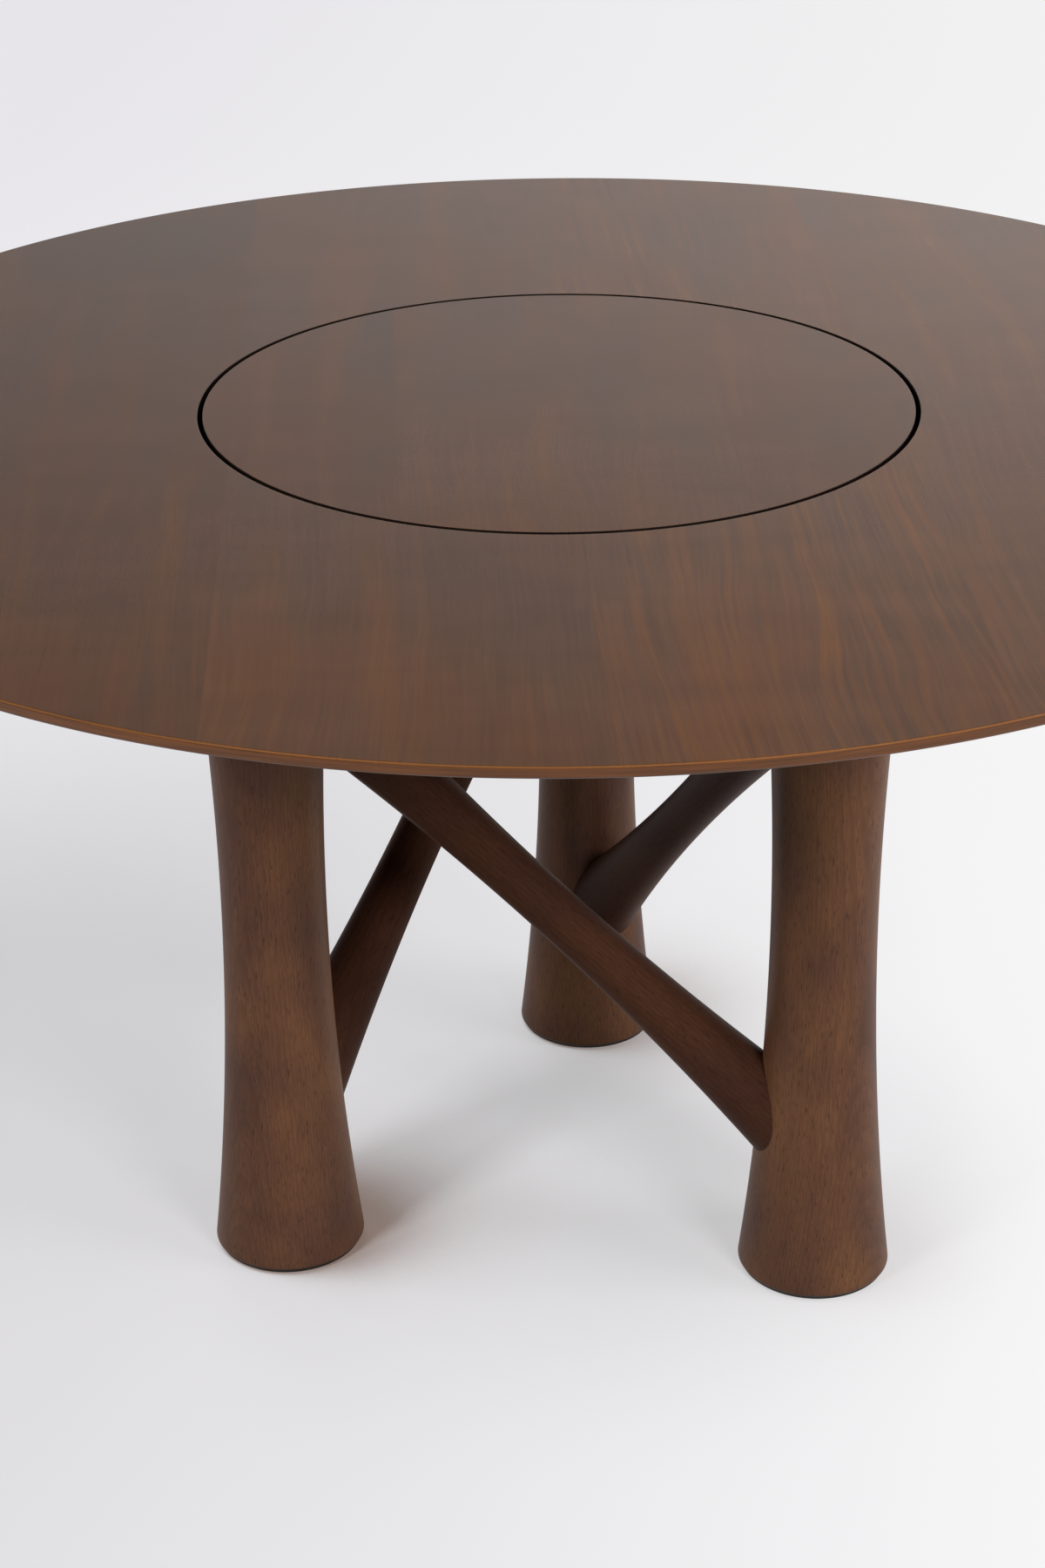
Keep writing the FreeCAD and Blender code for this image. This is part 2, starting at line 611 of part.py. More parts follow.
def make_brace(low_leg, high_leg, fitting):
    """Brace: turned to an hourglass, then hollowed at both ends to sit on the legs."""
    name = f"brace_{low_leg}_to_{high_leg}"
    blank = turned(f"{name}_blank", [
        ("0", "0"),
        ("Worked.brace_end_radius", "0"),
        ("Worked.brace_end_radius", "Worked.brace_length"),
        ("0", "Worked.brace_length"),
    ], hollows={1: ("Sizes.brace_flare", "Worked.brace_length / 2")})
    place_on_brace(blank, LEG_ANGLES[low_leg], "0")
    cut(blank, fitting, name)


def check_and_write():
    """Stop on any failed object or bad shape, then write each sub-part to its own file."""
    doc.recompute()
    for item in doc.Objects:
        if "Invalid" in item.State or "Error" in item.State:
            raise RuntimeError(f"{item.Label} failed: {item.State}")
    for piece in pieces:
        shape = piece.Shape
        if shape.isNull() or not shape.isValid() or not shape.Solids:
            raise RuntimeError(f"{piece.Label} has no valid solid")
    os.makedirs("parts", exist_ok=True)
    for piece in pieces:
        piece.Shape.exportStep(f"parts/{piece.Label}.step")
        print(f"{piece.Label}: {len(piece.Shape.Solids)} solids, {piece.Shape.Volume / 1000:.1f} cm3")


sizes = fill_sheet("Sizes", SIZES)
fill_sheet("Worked", WORKED)

ring_top = "Worked.well_floor_top + Worked.ring_thickness"
proud = "Sizes.fit_clearance"
base_screw_holes = screw_set(
    "bearing_base_screws", "XZ_Plane", "Worked.outer_ring_screws", ring_top, "-", "ring_screw",
    "Sizes.ring_screw_count", proud)
disc_screw_holes = screw_set(
    "turntable_screws", "XZ_Plane", "Worked.inner_ring_screws", "Worked.inner_ring_under", "+", "ring_screw",
    "Sizes.ring_screw_count", proud)
floor_screw_holes = screw_set(
    "well_floor_screws", "XZ_Plane", "Worked.floor_screws", "Worked.leg_top", "+", "floor_screw",
    "Sizes.floor_screw_count", proud)
glide_screw_holes = screw_set(
    "foot_glide_screws", "YZ_Plane", "Worked.leg_circle", "Sizes.glide_screw_recess", "+", "glide_screw",
    str(len(LEG_ANGLES)), "Sizes.glide_screw_recess")
leg_fixing_holes = make_leg_fixings()
brace_dowel_holes = make_brace_dowels("brace_low_dowels", "Sizes.brace_dowel_start")
brace_dowel_holes += make_brace_dowels("brace_high_dowels", "Worked.brace_dowel_high")

make_top(floor_screw_holes)
make_turntable(disc_screw_holes)
make_bearing(base_screw_holes, disc_screw_holes)
make_well_floor([base_screw_holes, floor_screw_holes] + leg_fixing_holes)

leg_blanks = [make_leg_blank(angle, name) for name, angle in LEG_ANGLES.items()]
leg_holes = joined("leg_holes", leg_fixing_holes + [glide_screw_holes] + brace_dowel_holes)
for leg_blank, leg_name in zip(leg_blanks, LEG_ANGLES):
    cut(leg_blank, leg_holes, f"leg_{leg_name}")
for leg_name, leg_angle in LEG_ANGLES.items():
    make_glide(leg_angle, leg_name, glide_screw_holes)
brace_fitting = joined("brace_fitting", leg_blanks + brace_dowel_holes)
for start_leg, end_leg in BRACE_ROUTES:
    make_brace(start_leg, end_leg, brace_fitting)

check_and_write()
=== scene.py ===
"""Round dining table with an inset turntable, dressed for its portrait in a plain studio.

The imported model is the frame. The pieces that show are made again here as fine meshes, each in the
place of its node: turned legs and braces, the veneered ring and disc, their lippings, and the small
hardware. What stays hidden keeps its node's shape and gets a finish. All lengths are in metres.
"""
import logging
import math
from dataclasses import dataclass, field
from enum import Enum
from functools import partial

import bpy
from mathutils import Matrix, Vector


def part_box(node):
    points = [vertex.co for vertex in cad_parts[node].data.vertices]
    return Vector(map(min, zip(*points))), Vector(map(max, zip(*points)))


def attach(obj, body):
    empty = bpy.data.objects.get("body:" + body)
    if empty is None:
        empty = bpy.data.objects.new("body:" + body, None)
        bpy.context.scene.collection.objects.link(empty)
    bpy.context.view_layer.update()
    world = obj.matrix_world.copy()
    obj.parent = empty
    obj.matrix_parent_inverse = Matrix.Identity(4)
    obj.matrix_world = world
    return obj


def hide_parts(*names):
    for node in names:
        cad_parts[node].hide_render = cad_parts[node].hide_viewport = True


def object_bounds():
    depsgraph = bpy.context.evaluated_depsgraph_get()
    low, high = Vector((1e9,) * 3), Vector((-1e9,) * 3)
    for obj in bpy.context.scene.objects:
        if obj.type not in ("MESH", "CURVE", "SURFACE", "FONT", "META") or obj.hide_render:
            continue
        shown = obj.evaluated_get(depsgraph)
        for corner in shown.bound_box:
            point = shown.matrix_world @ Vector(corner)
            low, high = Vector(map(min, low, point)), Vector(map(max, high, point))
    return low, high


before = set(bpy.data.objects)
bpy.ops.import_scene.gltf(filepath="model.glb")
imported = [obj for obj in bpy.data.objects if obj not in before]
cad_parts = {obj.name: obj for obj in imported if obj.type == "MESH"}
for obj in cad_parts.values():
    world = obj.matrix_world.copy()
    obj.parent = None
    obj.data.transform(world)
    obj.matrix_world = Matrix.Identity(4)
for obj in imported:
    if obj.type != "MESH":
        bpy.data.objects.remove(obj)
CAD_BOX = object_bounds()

log = logging.getLogger("round_table")

MM = 0.001
# How far the veneer's grain is turned from the table's front-to-back line
GRAIN_ANGLE = math.radians(8.4)
# Edges sharper than this stay crisp
SHARP_ANGLE = math.radians(32.0)
# Name of the point attribute that says where in its log each spot of a solid wood piece was
WOOD_AT = "wood_at"
LACQUER_IOR = 1.5
NYLON_IOR = 1.53

# Blender's names for the node types that come up often
MATH = "ShaderNodeMath"
VECTOR = "ShaderNodeVectorMath"
MIX = "ShaderNodeMix"
NOISE = "ShaderNodeTexNoise"
MAPPING = "ShaderNodeMapping"
RANGE = "ShaderNodeMapRange"
PLACE = "ShaderNodeTexCoord"
SPLIT = "ShaderNodeSeparateXYZ"
JOIN = "ShaderNodeCombineXYZ"
# Numbers of the colour sockets on a mix node, and of the float sockets on a random value node
MIX_A, MIX_B, MIX_OUT = 6, 7, 2
RANDOM_MAX, RANDOM_SEED, RANDOM_OUT = 3, 8, 1

Pair = tuple[float, float]
Triple = tuple[float, float, float]
Profile = list[Pair]
# A value, a socket, or a node that stands for its first output
NodeInput = bpy.types.Node | bpy.types.NodeSocket | float | str | tuple[float, ...]


class Body(str, Enum):
    """Bodies of the frame that a piece can ride on."""

    BASE = "base"
    TURNTABLE = "turntable"
    BALLS = "balls"


class Slot(str, Enum):
    """Material slots of the record, one for each kind of new piece."""

    VENEER = "veneer"
    LIPPING = "lipping"
    TURNED_WOOD = "turned_wood"
    CORE = "core_panel"
    BALL = "ball_steel"
    FIXING = "fixing_steel"
    GLIDE = "glide_nylon"


class Leg(Enum):
    """The three legs, by their angle from +X in degrees."""

    RIGHT = -30.0
    BACK = 90.0
    LEFT = 210.0

    @property
    def word(self) -> str:
        """The leg's name inside node names."""
        return self.name.lower()

    @property
    def heading(self) -> Vector:
        """Unit vector from the table's axis towards the leg."""
        angle = math.radians(self.value)
        return Vector((math.cos(angle), math.sin(angle), 0.0))


def linear(code: str) -> tuple[float, float, float, float]:
    """Turn an sRGB hex colour into linear values.

    Args:
        code: Six hex digits, with or without a leading hash.

    Returns:
        Red, green, blue and an alpha of one.
    """
    digits = code.lstrip("#")
    parts = [int(digits[place:place + 2], 16) / 255.0 for place in (0, 2, 4)]
    bright = [part / 12.92 if part <= 0.04045 else ((part + 0.055) / 1.055) ** 2.4 for part in parts]
    return (*bright, 1.0)


def span(ends: Pair) -> dict[str, float]:
    """Name the two ends that a range is read between.

    Args:
        ends: The first and the last value.

    Returns:
        Inputs of a range node.
    """
    return {"From Min": ends[0], "From Max": ends[1]}


def about(middle: float, spread: float) -> dict[str, float]:
    """Name the two ends that a range is drawn between.

    Args:
        middle: The value half-way.
        spread: How far each end is from it.

    Returns:
        Inputs of a range node.
    """
    return {"To Min": middle - spread, "To Max": middle + spread}


# Most values of a noise lie between these
COMMON = span((0.3, 0.7))


def add_node(tree: bpy.types.NodeTree, kind: str, inputs: dict[str | int, NodeInput] | None = None,
             **settings: object) -> bpy.types.Node:
    """Add a node with its settings and links.

    Args:
        tree: The tree that gets the node.
        kind: Blender's name for the node type.
        inputs: Value, socket or node for each input, by the input's name or number.
        settings: The node's own properties.

    Returns:
        The new node.
    """
    node = tree.nodes.new(kind)
    for name, value in settings.items():
        setattr(node, name, value)
    for name, value in (inputs or {}).items():
        if isinstance(value, bpy.types.Node):
            value = value.outputs[0]
        if isinstance(value, bpy.types.NodeSocket):
            tree.links.new(value, node.inputs[name])
        else:
            node.inputs[name].default_value = value
    return node


def new_material(name: str) -> tuple[bpy.types.Material, bpy.types.NodeTree]:
    """Start an empty node material.

    Args:
        name: The material's name.

    Returns:
        The material and its empty tree.
    """
    material = bpy.data.materials.new(name)
    material.use_nodes = True
    material.node_tree.nodes.clear()
    return material, material.node_tree


def finish_surface(tree: bpy.types.NodeTree, inputs: dict[str | int, NodeInput]) -> None:
    """End a material tree in a Principled surface.

    Args:
        tree: The material's tree.
        inputs: Inputs of the shader.
    """
    surface = add_node(tree, "ShaderNodeBsdfPrincipled", inputs)
    add_node(tree, "ShaderNodeOutputMaterial", {"Surface": surface})


@dataclass(frozen=True)
class Pattern:
    """A pattern in a material, drawn at its real size: one patch along x, y and z."""

    size: Triple
    detail: float
    roughness: float = 0.5
    shift: Triple = (0.0, 0.0, 0.0)

    def draw(self, tree: bpy.types.NodeTree, at: NodeInput) -> bpy.types.Node:
        """Draw the pattern with a noise.

        Args:
            tree: The material's tree.
            at: Where each spot lies in the material.

        Returns:
            The noise.
        """
        scale = tuple(1.0 / size for size in self.size)
        placed = add_node(tree, MAPPING, {"Vector": at, "Scale": scale, "Location": self.shift})
        return add_node(tree, NOISE, {"Vector": placed, "Scale": 1.0, "Detail": self.detail,
                                      "Roughness": self.roughness})


@dataclass(frozen=True)
class Leaf:
    """One leaf of veneer: the log's heart as seen from its middle, its tone and its lines' strength."""

    aside: float
    depth: float
    tone: float
    lines: float


@dataclass(frozen=True)
class LaidGrain:
    """Where a spot of the veneer lies: on the table, in its leaf and in the log."""

    laid: bpy.types.Node
    along: bpy.types.NodeSocket
    # Place counted in leaves, and the number of the leaf
    leaf_at: bpy.types.Node
    leaf: bpy.types.Node
    # The leaf's own slice of every pattern, and the place in that slice
    leaf_slice: bpy.types.Node
    grain: bpy.types.Node
    # Place across the grain once the fibres have wandered
    bent: bpy.types.Node


@dataclass(frozen=True)
class VeneerFinish:
    """Walnut face veneer under satin lacquer, laid as wide leaves side by side.

    It gives the eye low contrast all over: slow clouds from red brown to grey brown, soft orange
    streaks, faint growth lines that run straight or close into long arches, and a mottle across the
    grain. The lacquer is satin, so the far side takes a pale veil from the room.
    """

    name: str
    leaves: tuple[Leaf, ...]
    seed: float
    # Distances from the axis where the gap's painted shade on the cut edge is full, and where it has gone
    cut_edge: float
    cut_face: float
    leaf_width: float = 270.0 * MM
    # How far apart the slices of the patterns are that two neighbouring leaves take
    leaf_step: float = 3.7
    # Most that a heart lies aside, and how fast it sinks below the leaf towards the back
    heart_reach: float = 0.5
    heart_slope: float = 0.05
    # Patterns, across and along the grain. A metre of depth keeps the leaves' slices apart
    wander: Pattern = Pattern((200.0 * MM, 667.0 * MM, 1.0), 2.0)
    wander_swing: float = 40.0 * MM
    ripple: Pattern = Pattern((50.0 * MM, 62.5 * MM, 1.0), 1.0)
    ripple_swing: float = 1.8 * MM
    line: Pattern = Pattern((4.5 * MM, 200.0 * MM, 1.0), 3.0)
    band: Pattern = Pattern((26.3 * MM, 833.0 * MM, 1.0), 2.0)
    cloud: Pattern = Pattern((143.0 * MM, 312.0 * MM, 1.0), 3.0, shift=(0.0, 0.0, 9.0))
    streak: Pattern = Pattern((33.3 * MM, 714.0 * MM, 1.0), 2.0, shift=(3.0, 0.0, 0.0))
    mottle: Pattern = Pattern((125.0 * MM, 50.0 * MM, 1.0), 2.0)
    fibre: Pattern = Pattern((2.5 * MM, 125.0 * MM, 1.0), 3.0, 0.6)
    # Pores are drawn twice as wide as real ones so that they show
    pore: Pattern = Pattern((0.91 * MM, 14.3 * MM, 1.0), 1.0)
    # Which values of each noise show, from none to full
    light_line: Pair = (0.5, 0.75)
    dark_line: Pair = (0.5, 0.28)
    grey_cloud: Pair = (0.25, 0.75)
    orange_streak: Pair = (0.45, 0.8)
    open_pore: Pair = (0.6, 0.75)
    # How far each of them changes the colour
    faint_lines: float = 0.25
    dark_lines: float = 0.45
    streak_share: float = 0.38
    tone_spread: float = 0.07
    pore_share: float = 0.1
    # A hairline where two leaves meet
    seam_share: float = 0.3
    seam_width: float = 0.6 * MM
    # Between these distances from the axis, sanding has gone through to the lipping, whose colour
    # there is painted paler still as a highlight on the arris
    worn_and_highlight: Pair = (698.3 * MM, 699.2 * MM)
    red: str = "#6a4329"
    grey: str = "#5d4435"
    orange: str = "#7e4d21"
    dark: str = "#4a2b20"
    # Painted shade of the gap, on the cut edge beside it
    stain: str = "#1a110c"
    # The worn arris, painted paler than the lipping as a highlight
    rim: str = "#98653c"
    roughness: float = 0.26
    roughness_spread: float = 0.02
    gloss: float = 0.62

    def lay(self, tree: bpy.types.NodeTree) -> LaidGrain:
        """Lay the leaves side by side and let their fibres wander.

        Args:
            tree: The material's tree.

        Returns:
            Where each spot lies.
        """
        add = partial(add_node, tree)
        place = add(PLACE).outputs["Object"]
        laid = add(MAPPING, {"Vector": place, "Rotation": (0.0, 0.0, -GRAIN_ANGLE)})
        across, along, _ = add(SPLIT, {0: laid}).outputs
        leaf_at = add(MATH, {0: across, 1: 1.0 / self.leaf_width, 2: len(self.leaves) / 2.0},
                      operation="MULTIPLY_ADD")
        leaf = add(MATH, {0: leaf_at}, operation="FLOOR")

        # Each leaf comes from another place in the log, so it takes another slice of the patterns
        leaf_slice = add(MATH, {0: leaf, 1: self.leaf_step, 2: self.seed}, operation="MULTIPLY_ADD")
        grain = add(VECTOR, {0: laid, 1: add(JOIN, {2: leaf_slice})}, operation="ADD")

        # The fibres wander slowly across the leaf, and ripple a little
        wander = self.wander.draw(tree, grain)
        swing = add(RANGE, {"Value": wander, **about(0.0, self.wander_swing)})
        ripple = self.ripple.draw(tree, grain)
        waver = add(RANGE, {"Value": ripple, **about(0.0, self.ripple_swing)})
        bend = add(MATH, {0: swing, 1: waver}, operation="ADD")
        bent = add(MATH, {0: across, 1: bend}, operation="ADD")
        return LaidGrain(laid, along, leaf_at, leaf, leaf_slice, grain, bent)

    def cut_of(self, tree: bpy.types.NodeTree, leaf: bpy.types.Node) -> bpy.types.Node:
        """Look up how a leaf was cut.

        Args:
            tree: The material's tree.
            leaf: The leaf's number.

        Returns:
            A ramp whose red, green and blue are the heart's place aside, its depth and the leaf's
            tone, and whose alpha is the strength of its lines.
        """
        count = len(self.leaves)
        share = add_node(tree, MATH, {0: leaf, 1: 1.0 / count, 2: 0.5 / count}, operation="MULTIPLY_ADD")
        cut = add_node(tree, "ShaderNodeValToRGB", {0: share})
        cut.color_ramp.interpolation = "CONSTANT"
        stops = cut.color_ramp.elements
        for number, one in enumerate(self.leaves):
            stop = stops[number] if number < len(stops) else stops.new(number / count)
            stop.position = number / count
            stop.color = (one.aside + self.heart_reach, one.depth, one.tone, one.lines)
        return cut

    def growth_lines(self, tree: bpy.types.NodeTree, spot: LaidGrain, aside: bpy.types.NodeSocket,
                     depth: bpy.types.NodeSocket,
                     strength: bpy.types.NodeSocket) -> tuple[bpy.types.Node, bpy.types.Node]:
        """Draw growth lines by their distance from the heart of the log.

        Args:
            tree: The material's tree.
            spot: Where each spot lies.
            aside: The heart's place aside from the leaf's middle.
            depth: The heart's depth under the leaf.
            strength: How strong the leaf's lines are.

        Returns:
            Shares of the light lines and of the dark lines.
        """
        add = partial(add_node, tree)
        first = (0.5 - len(self.leaves) / 2.0) * self.leaf_width - self.heart_reach
        middle = add(MATH, {0: spot.leaf, 1: self.leaf_width, 2: first}, operation="MULTIPLY_ADD")
        heart = add(MATH, {0: middle, 1: aside}, operation="ADD")
        sideways = add(MATH, {0: spot.bent, 1: heart}, operation="SUBTRACT")
        sink = add(MATH, {0: spot.along, 1: self.heart_slope, 2: depth}, operation="MULTIPLY_ADD")
        side_square = add(MATH, {0: sideways, 1: sideways}, operation="MULTIPLY")
        square = add(MATH, {0: sink, 1: sink, 2: side_square}, operation="MULTIPLY_ADD")
        radius = add(MATH, {0: square}, operation="SQRT")
        line_at = add(JOIN, {0: radius, 1: spot.along, 2: spot.leaf_slice})
        line = self.line.draw(tree, line_at)
        band = self.band.draw(tree, line_at)
        fade = add(RANGE, {"Value": band, **COMMON, "To Min": self.faint_lines})
        shown = add(MATH, {0: fade, 1: strength}, operation="MULTIPLY")
        light = add(RANGE, {"Value": line, **span(self.light_line)})
        dark = add(RANGE, {"Value": line, **span(self.dark_line)})
        light_share = add(MATH, {0: light, 1: shown}, operation="MULTIPLY")
        dark_full = add(MATH, {0: dark, 1: shown}, operation="MULTIPLY")
        dark_share = add(MATH, {0: dark_full, 1: self.dark_lines}, operation="MULTIPLY")
        return light_share, dark_share

    def build(self) -> bpy.types.Material:
        """Make the material.

        Returns:
            The finished material.
        """
        material, tree = new_material(self.name)
        add = partial(add_node, tree)
        spot = self.lay(tree)
        cut = self.cut_of(tree, spot.leaf)
        aside, depth, leaf_tone = add("ShaderNodeSeparateColor", {0: cut}).outputs
        light_lines, dark_lines = self.growth_lines(tree, spot, aside, depth, cut.outputs["Alpha"])

        # Clouds, streaks, the mottle across the grain, and the fibres with their pores
        fibre_at = add(JOIN, {0: spot.bent, 1: spot.along, 2: spot.leaf_slice})
        ashen = add(RANGE, {"Value": self.cloud.draw(tree, spot.grain), **span(self.grey_cloud)})
        warm = add(RANGE, {"Value": self.streak.draw(tree, fibre_at), **span(self.orange_streak),
                           "To Max": self.streak_share}, interpolation_type="SMOOTHSTEP")
        gleam = add(RANGE, {"Value": self.mottle.draw(tree, spot.grain), **COMMON,
                            **about(1.0, self.tone_spread)})
        fibre = self.fibre.draw(tree, fibre_at)
        fibre_tone = add(RANGE, {"Value": fibre, **COMMON, **about(1.0, self.tone_spread)})
        pores = add(RANGE, {"Value": self.pore.draw(tree, fibre_at), **span(self.open_pore),
                            "To Max": self.pore_share})
        within = add(MATH, {0: spot.leaf_at}, operation="FRACT")
        seam = add(RANGE, {"Value": within, "From Max": self.seam_width / self.leaf_width,
                           "To Min": self.seam_share, "To Max": 0.0})
        shade = add(MATH, {0: pores, 1: seam}, operation="MAXIMUM")

        # Painted shade: the cut edge beside the gap is darkened as far as the lining under it
        flat = add(VECTOR, {0: spot.laid, 1: (1.0, 1.0, 0.0)}, operation="MULTIPLY")
        reach = add(VECTOR, {0: flat}, operation="LENGTH").outputs["Value"]
        edge = add(RANGE, {"Value": reach, **span((self.cut_face, self.cut_edge))})
        worn_and_highlight = add(RANGE, {"Value": reach, **span(self.worn_and_highlight)})

        colour = linear(self.red)
        for share, tint in ((ashen, self.grey), (warm, self.orange), (light_lines, self.orange),
                            (dark_lines, self.dark), (shade, self.dark), (edge, self.stain),
                            (worn_and_highlight, self.rim)):
            mix = add(MIX, {0: share, MIX_A: colour, MIX_B: linear(tint)}, data_type="RGBA")
            colour = mix.outputs[MIX_OUT]
        face_tone = add(MATH, {0: leaf_tone, 1: gleam}, operation="MULTIPLY")
        tone = add(MATH, {0: face_tone, 1: fibre_tone}, operation="MULTIPLY")
        base = add(VECTOR, {0: colour, "Scale": tone}, operation="SCALE")
        sheen = add(RANGE, {"Value": fibre, **about(self.roughness, self.roughness_spread)})
        finish_surface(tree, {"Base Color": base, "Roughness": sheen, "IOR": LACQUER_IOR,
                              "Specular IOR Level": self.gloss})
        return material


@dataclass(frozen=True)
class TurnedWoodFinish:
    """Stained solid hardwood, turned, sanded and sealed with dull lacquer.

    It gives the eye a brown stain that lies darker in the pores and clouds slowly from smoky to amber,
    with growth rings that run up the piece and open into arches where the flare cuts through them.
    """

    name: str
    # Growth rings: how far apart, how far they wander, and by how many rings they vary over what length
    ring_spacing: float = 2.4 * MM
    sway: Pattern = Pattern((111.0 * MM, 111.0 * MM, 455.0 * MM), 3.0)
    sway_reach: float = 18.0 * MM
    uneven_rings: float = 2.5
    uneven_length: float = 16.7 * MM
    # The log tapers, so height counts this much in the distance from its heart
    taper: float = 0.02
    # Late and early wood as parts of a year's ring, and which values of the noises show, from none to full
    late_wood: Pair = (0.3, 0.95)
    early_wood: Pair = (0.6, 0.3)
    open_pore: Pair = (0.54, 0.7)
    amber_cloud: Pair = (0.36, 0.68)
    late_share: float = 0.2
    fine: Pattern = Pattern((2.22 * MM, 2.22 * MM, 22.2 * MM), 3.0, 0.6)
    fine_spread: float = 0.12
    # Pores are drawn twice as wide as real ones so that they show
    pore: Pattern = Pattern((1.18 * MM, 1.18 * MM, 9.1 * MM), 1.0)
    pore_share: float = 0.6
    late_pores: float = 0.25
    pore_depth: float = 0.08 * MM
    pore_relief: float = 0.25
    cloud: Pattern = Pattern((71.4 * MM, 71.4 * MM, 143.0 * MM), 3.0)
    cloud_share: float = 0.9
    mid: str = "#664638"
    dark: str = "#3c271d"
    warm: str = "#8b6042"
    roughness: Pair = (0.42, 0.56)
    gloss: float = 0.18

    def build(self) -> bpy.types.Material:
        """Make the material.

        Returns:
            The finished material.
        """
        material, tree = new_material(self.name)
        add = partial(add_node, tree)
        wood = add("ShaderNodeAttribute", attribute_name=WOOD_AT).outputs["Vector"]

        # Growth rings about the log's heart, which lies outside the piece
        sway = self.sway.draw(tree, wood)
        sway_out = add(VECTOR, {0: sway.outputs["Color"], "Scale": self.sway_reach}, operation="SCALE")
        swayed = add(VECTOR, {0: wood, 1: sway_out}, operation="ADD")
        flat = add(VECTOR, {0: swayed, 1: (1.0, 1.0, self.taper)}, operation="MULTIPLY")
        radius = add(VECTOR, {0: flat}, operation="LENGTH").outputs["Value"]
        uneven = add(NOISE, {"W": radius, "Scale": 1.0 / self.uneven_length, "Detail": 2.0},
                     noise_dimensions="1D")
        ring = add(MATH, {0: radius, 1: 1.0 / self.ring_spacing}, operation="MULTIPLY")
        ring_at = add(MATH, {0: uneven, 1: self.uneven_rings, 2: ring}, operation="MULTIPLY_ADD")
        year = add(MATH, {0: ring_at}, operation="FRACT")
        late = add(RANGE, {"Value": year, **span(self.late_wood), "To Max": self.late_share},
                   interpolation_type="SMOOTHSTEP")

        # Short fine grain, and pores that follow the early part of each ring
        fine = self.fine.draw(tree, wood)
        fine_tone = add(RANGE, {"Value": fine, **COMMON, **about(1.0, self.fine_spread)})
        pore = self.pore.draw(tree, wood)
        early = add(RANGE, {"Value": year, **span(self.early_wood), "To Min": self.late_pores})
        pits = add(RANGE, {"Value": pore, **span(self.open_pore), "To Max": self.pore_share})
        pores = add(MATH, {0: pits, 1: early}, operation="MULTIPLY")

        # Slow clouds in the stain
        glow = add(RANGE, {"Value": self.cloud.draw(tree, wood), **span(self.amber_cloud),
                           "To Max": self.cloud_share})

        colour = linear(self.mid)
        for share, tint in ((glow, self.warm), (late, self.dark), (pores, self.dark)):
            mix = add(MIX, {0: share, MIX_A: colour, MIX_B: linear(tint)}, data_type="RGBA")
            colour = mix.outputs[MIX_OUT]
        base = add(VECTOR, {0: colour, "Scale": fine_tone}, operation="SCALE")
        sheen = add(RANGE, {"Value": fine, "To Min": self.roughness[0], "To Max": self.roughness[1]})
        relief = add("ShaderNodeBump", {"Strength": self.pore_relief, "Distance": self.pore_depth,
                                        "Height": pore}, invert=True)
        finish_surface(tree, {"Base Color": base, "Roughness": sheen, "Normal": relief, "IOR": LACQUER_IOR,
                              "Specular IOR Level": self.gloss})
        return material


@dataclass(frozen=True)
class PlainWoodFinish:
    """Plainer wood or wood panel, which gives the eye a fine grain along one direction and soft clouds."""

    name: str
    light: str
    dark: str
    grain: Triple
    roughness: float
    # Lippings follow their own wood, and panels follow the veneer's direction
    from_attribute: bool = False
    grain_detail: float = 4.0
    grain_roughness: float = 0.62
    dark_grain: Pair = (0.35, 0.7)
    cloud: Pattern = Pattern((111.0 * MM, 111.0 * MM, 111.0 * MM), 2.0)
    cloud_spread: float = 0.1
    # How far the grain takes the roughness down and up
    smoother: float = 0.05
    rougher: float = 0.07
    gloss: float = 0.45

    def build(self) -> bpy.types.Material:
        """Make the material.

        Returns:
            The finished material.
        """
        material, tree = new_material(self.name)
        add = partial(add_node, tree)
        if self.from_attribute:
            wood = add("ShaderNodeAttribute", attribute_name=WOOD_AT).outputs["Vector"]
        else:
            place = add(PLACE).outputs["Object"]
            wood = add(MAPPING, {"Vector": place, "Rotation": (0.0, 0.0, -GRAIN_ANGLE)})
        grain = Pattern(self.grain, self.grain_detail, self.grain_roughness).draw(tree, wood)
        share = add(RANGE, {"Value": grain, **span(self.dark_grain)})
        tone = add(RANGE, {"Value": self.cloud.draw(tree, wood), **COMMON, **about(1.0, self.cloud_spread)})
        mixed = add(MIX, {0: share, MIX_A: linear(self.light), MIX_B: linear(self.dark)}, data_type="RGBA")
        colour = add(VECTOR, {0: mixed.outputs[MIX_OUT], "Scale": tone}, operation="SCALE")
        sheen = add(RANGE, {"Value": grain, "To Min": self.roughness - self.smoother,
                            "To Max": self.roughness + self.rougher})
        finish_surface(tree, {"Base Color": colour, "Roughness": sheen, "IOR": LACQUER_IOR,
                              "Specular IOR Level": self.gloss})
        return material


@dataclass(frozen=True)
class MetalFinish:
    """Bare or plated metal, whose fine tool marks break up its gloss for the eye."""

    name: str
    colour: str
    roughness: float
    marks: Pattern = Pattern((0.8 * MM, 0.8 * MM, 0.8 * MM), 3.0)
    mark_spread: float = 0.3
    shade: Pair = (0.9, 1.08)

    def build(self) -> bpy.types.Material:
        """Make the material.

        Returns:
            The finished material.
        """
        material, tree = new_material(self.name)
        add = partial(add_node, tree)
        marks = self.marks.draw(tree, add(PLACE).outputs["Object"])
        sheen = add(RANGE, {"Value": marks, **about(self.roughness, self.mark_spread * self.roughness)})
        shade = add(RANGE, {"Value": marks, "To Min": self.shade[0], "To Max": self.shade[1]})
        base = add(VECTOR, {0: linear(self.colour)[:3], "Scale": shade}, operation="SCALE")
        finish_surface(tree, {"Base Color": base, "Metallic": 1.0, "Roughness": sheen})
        return material


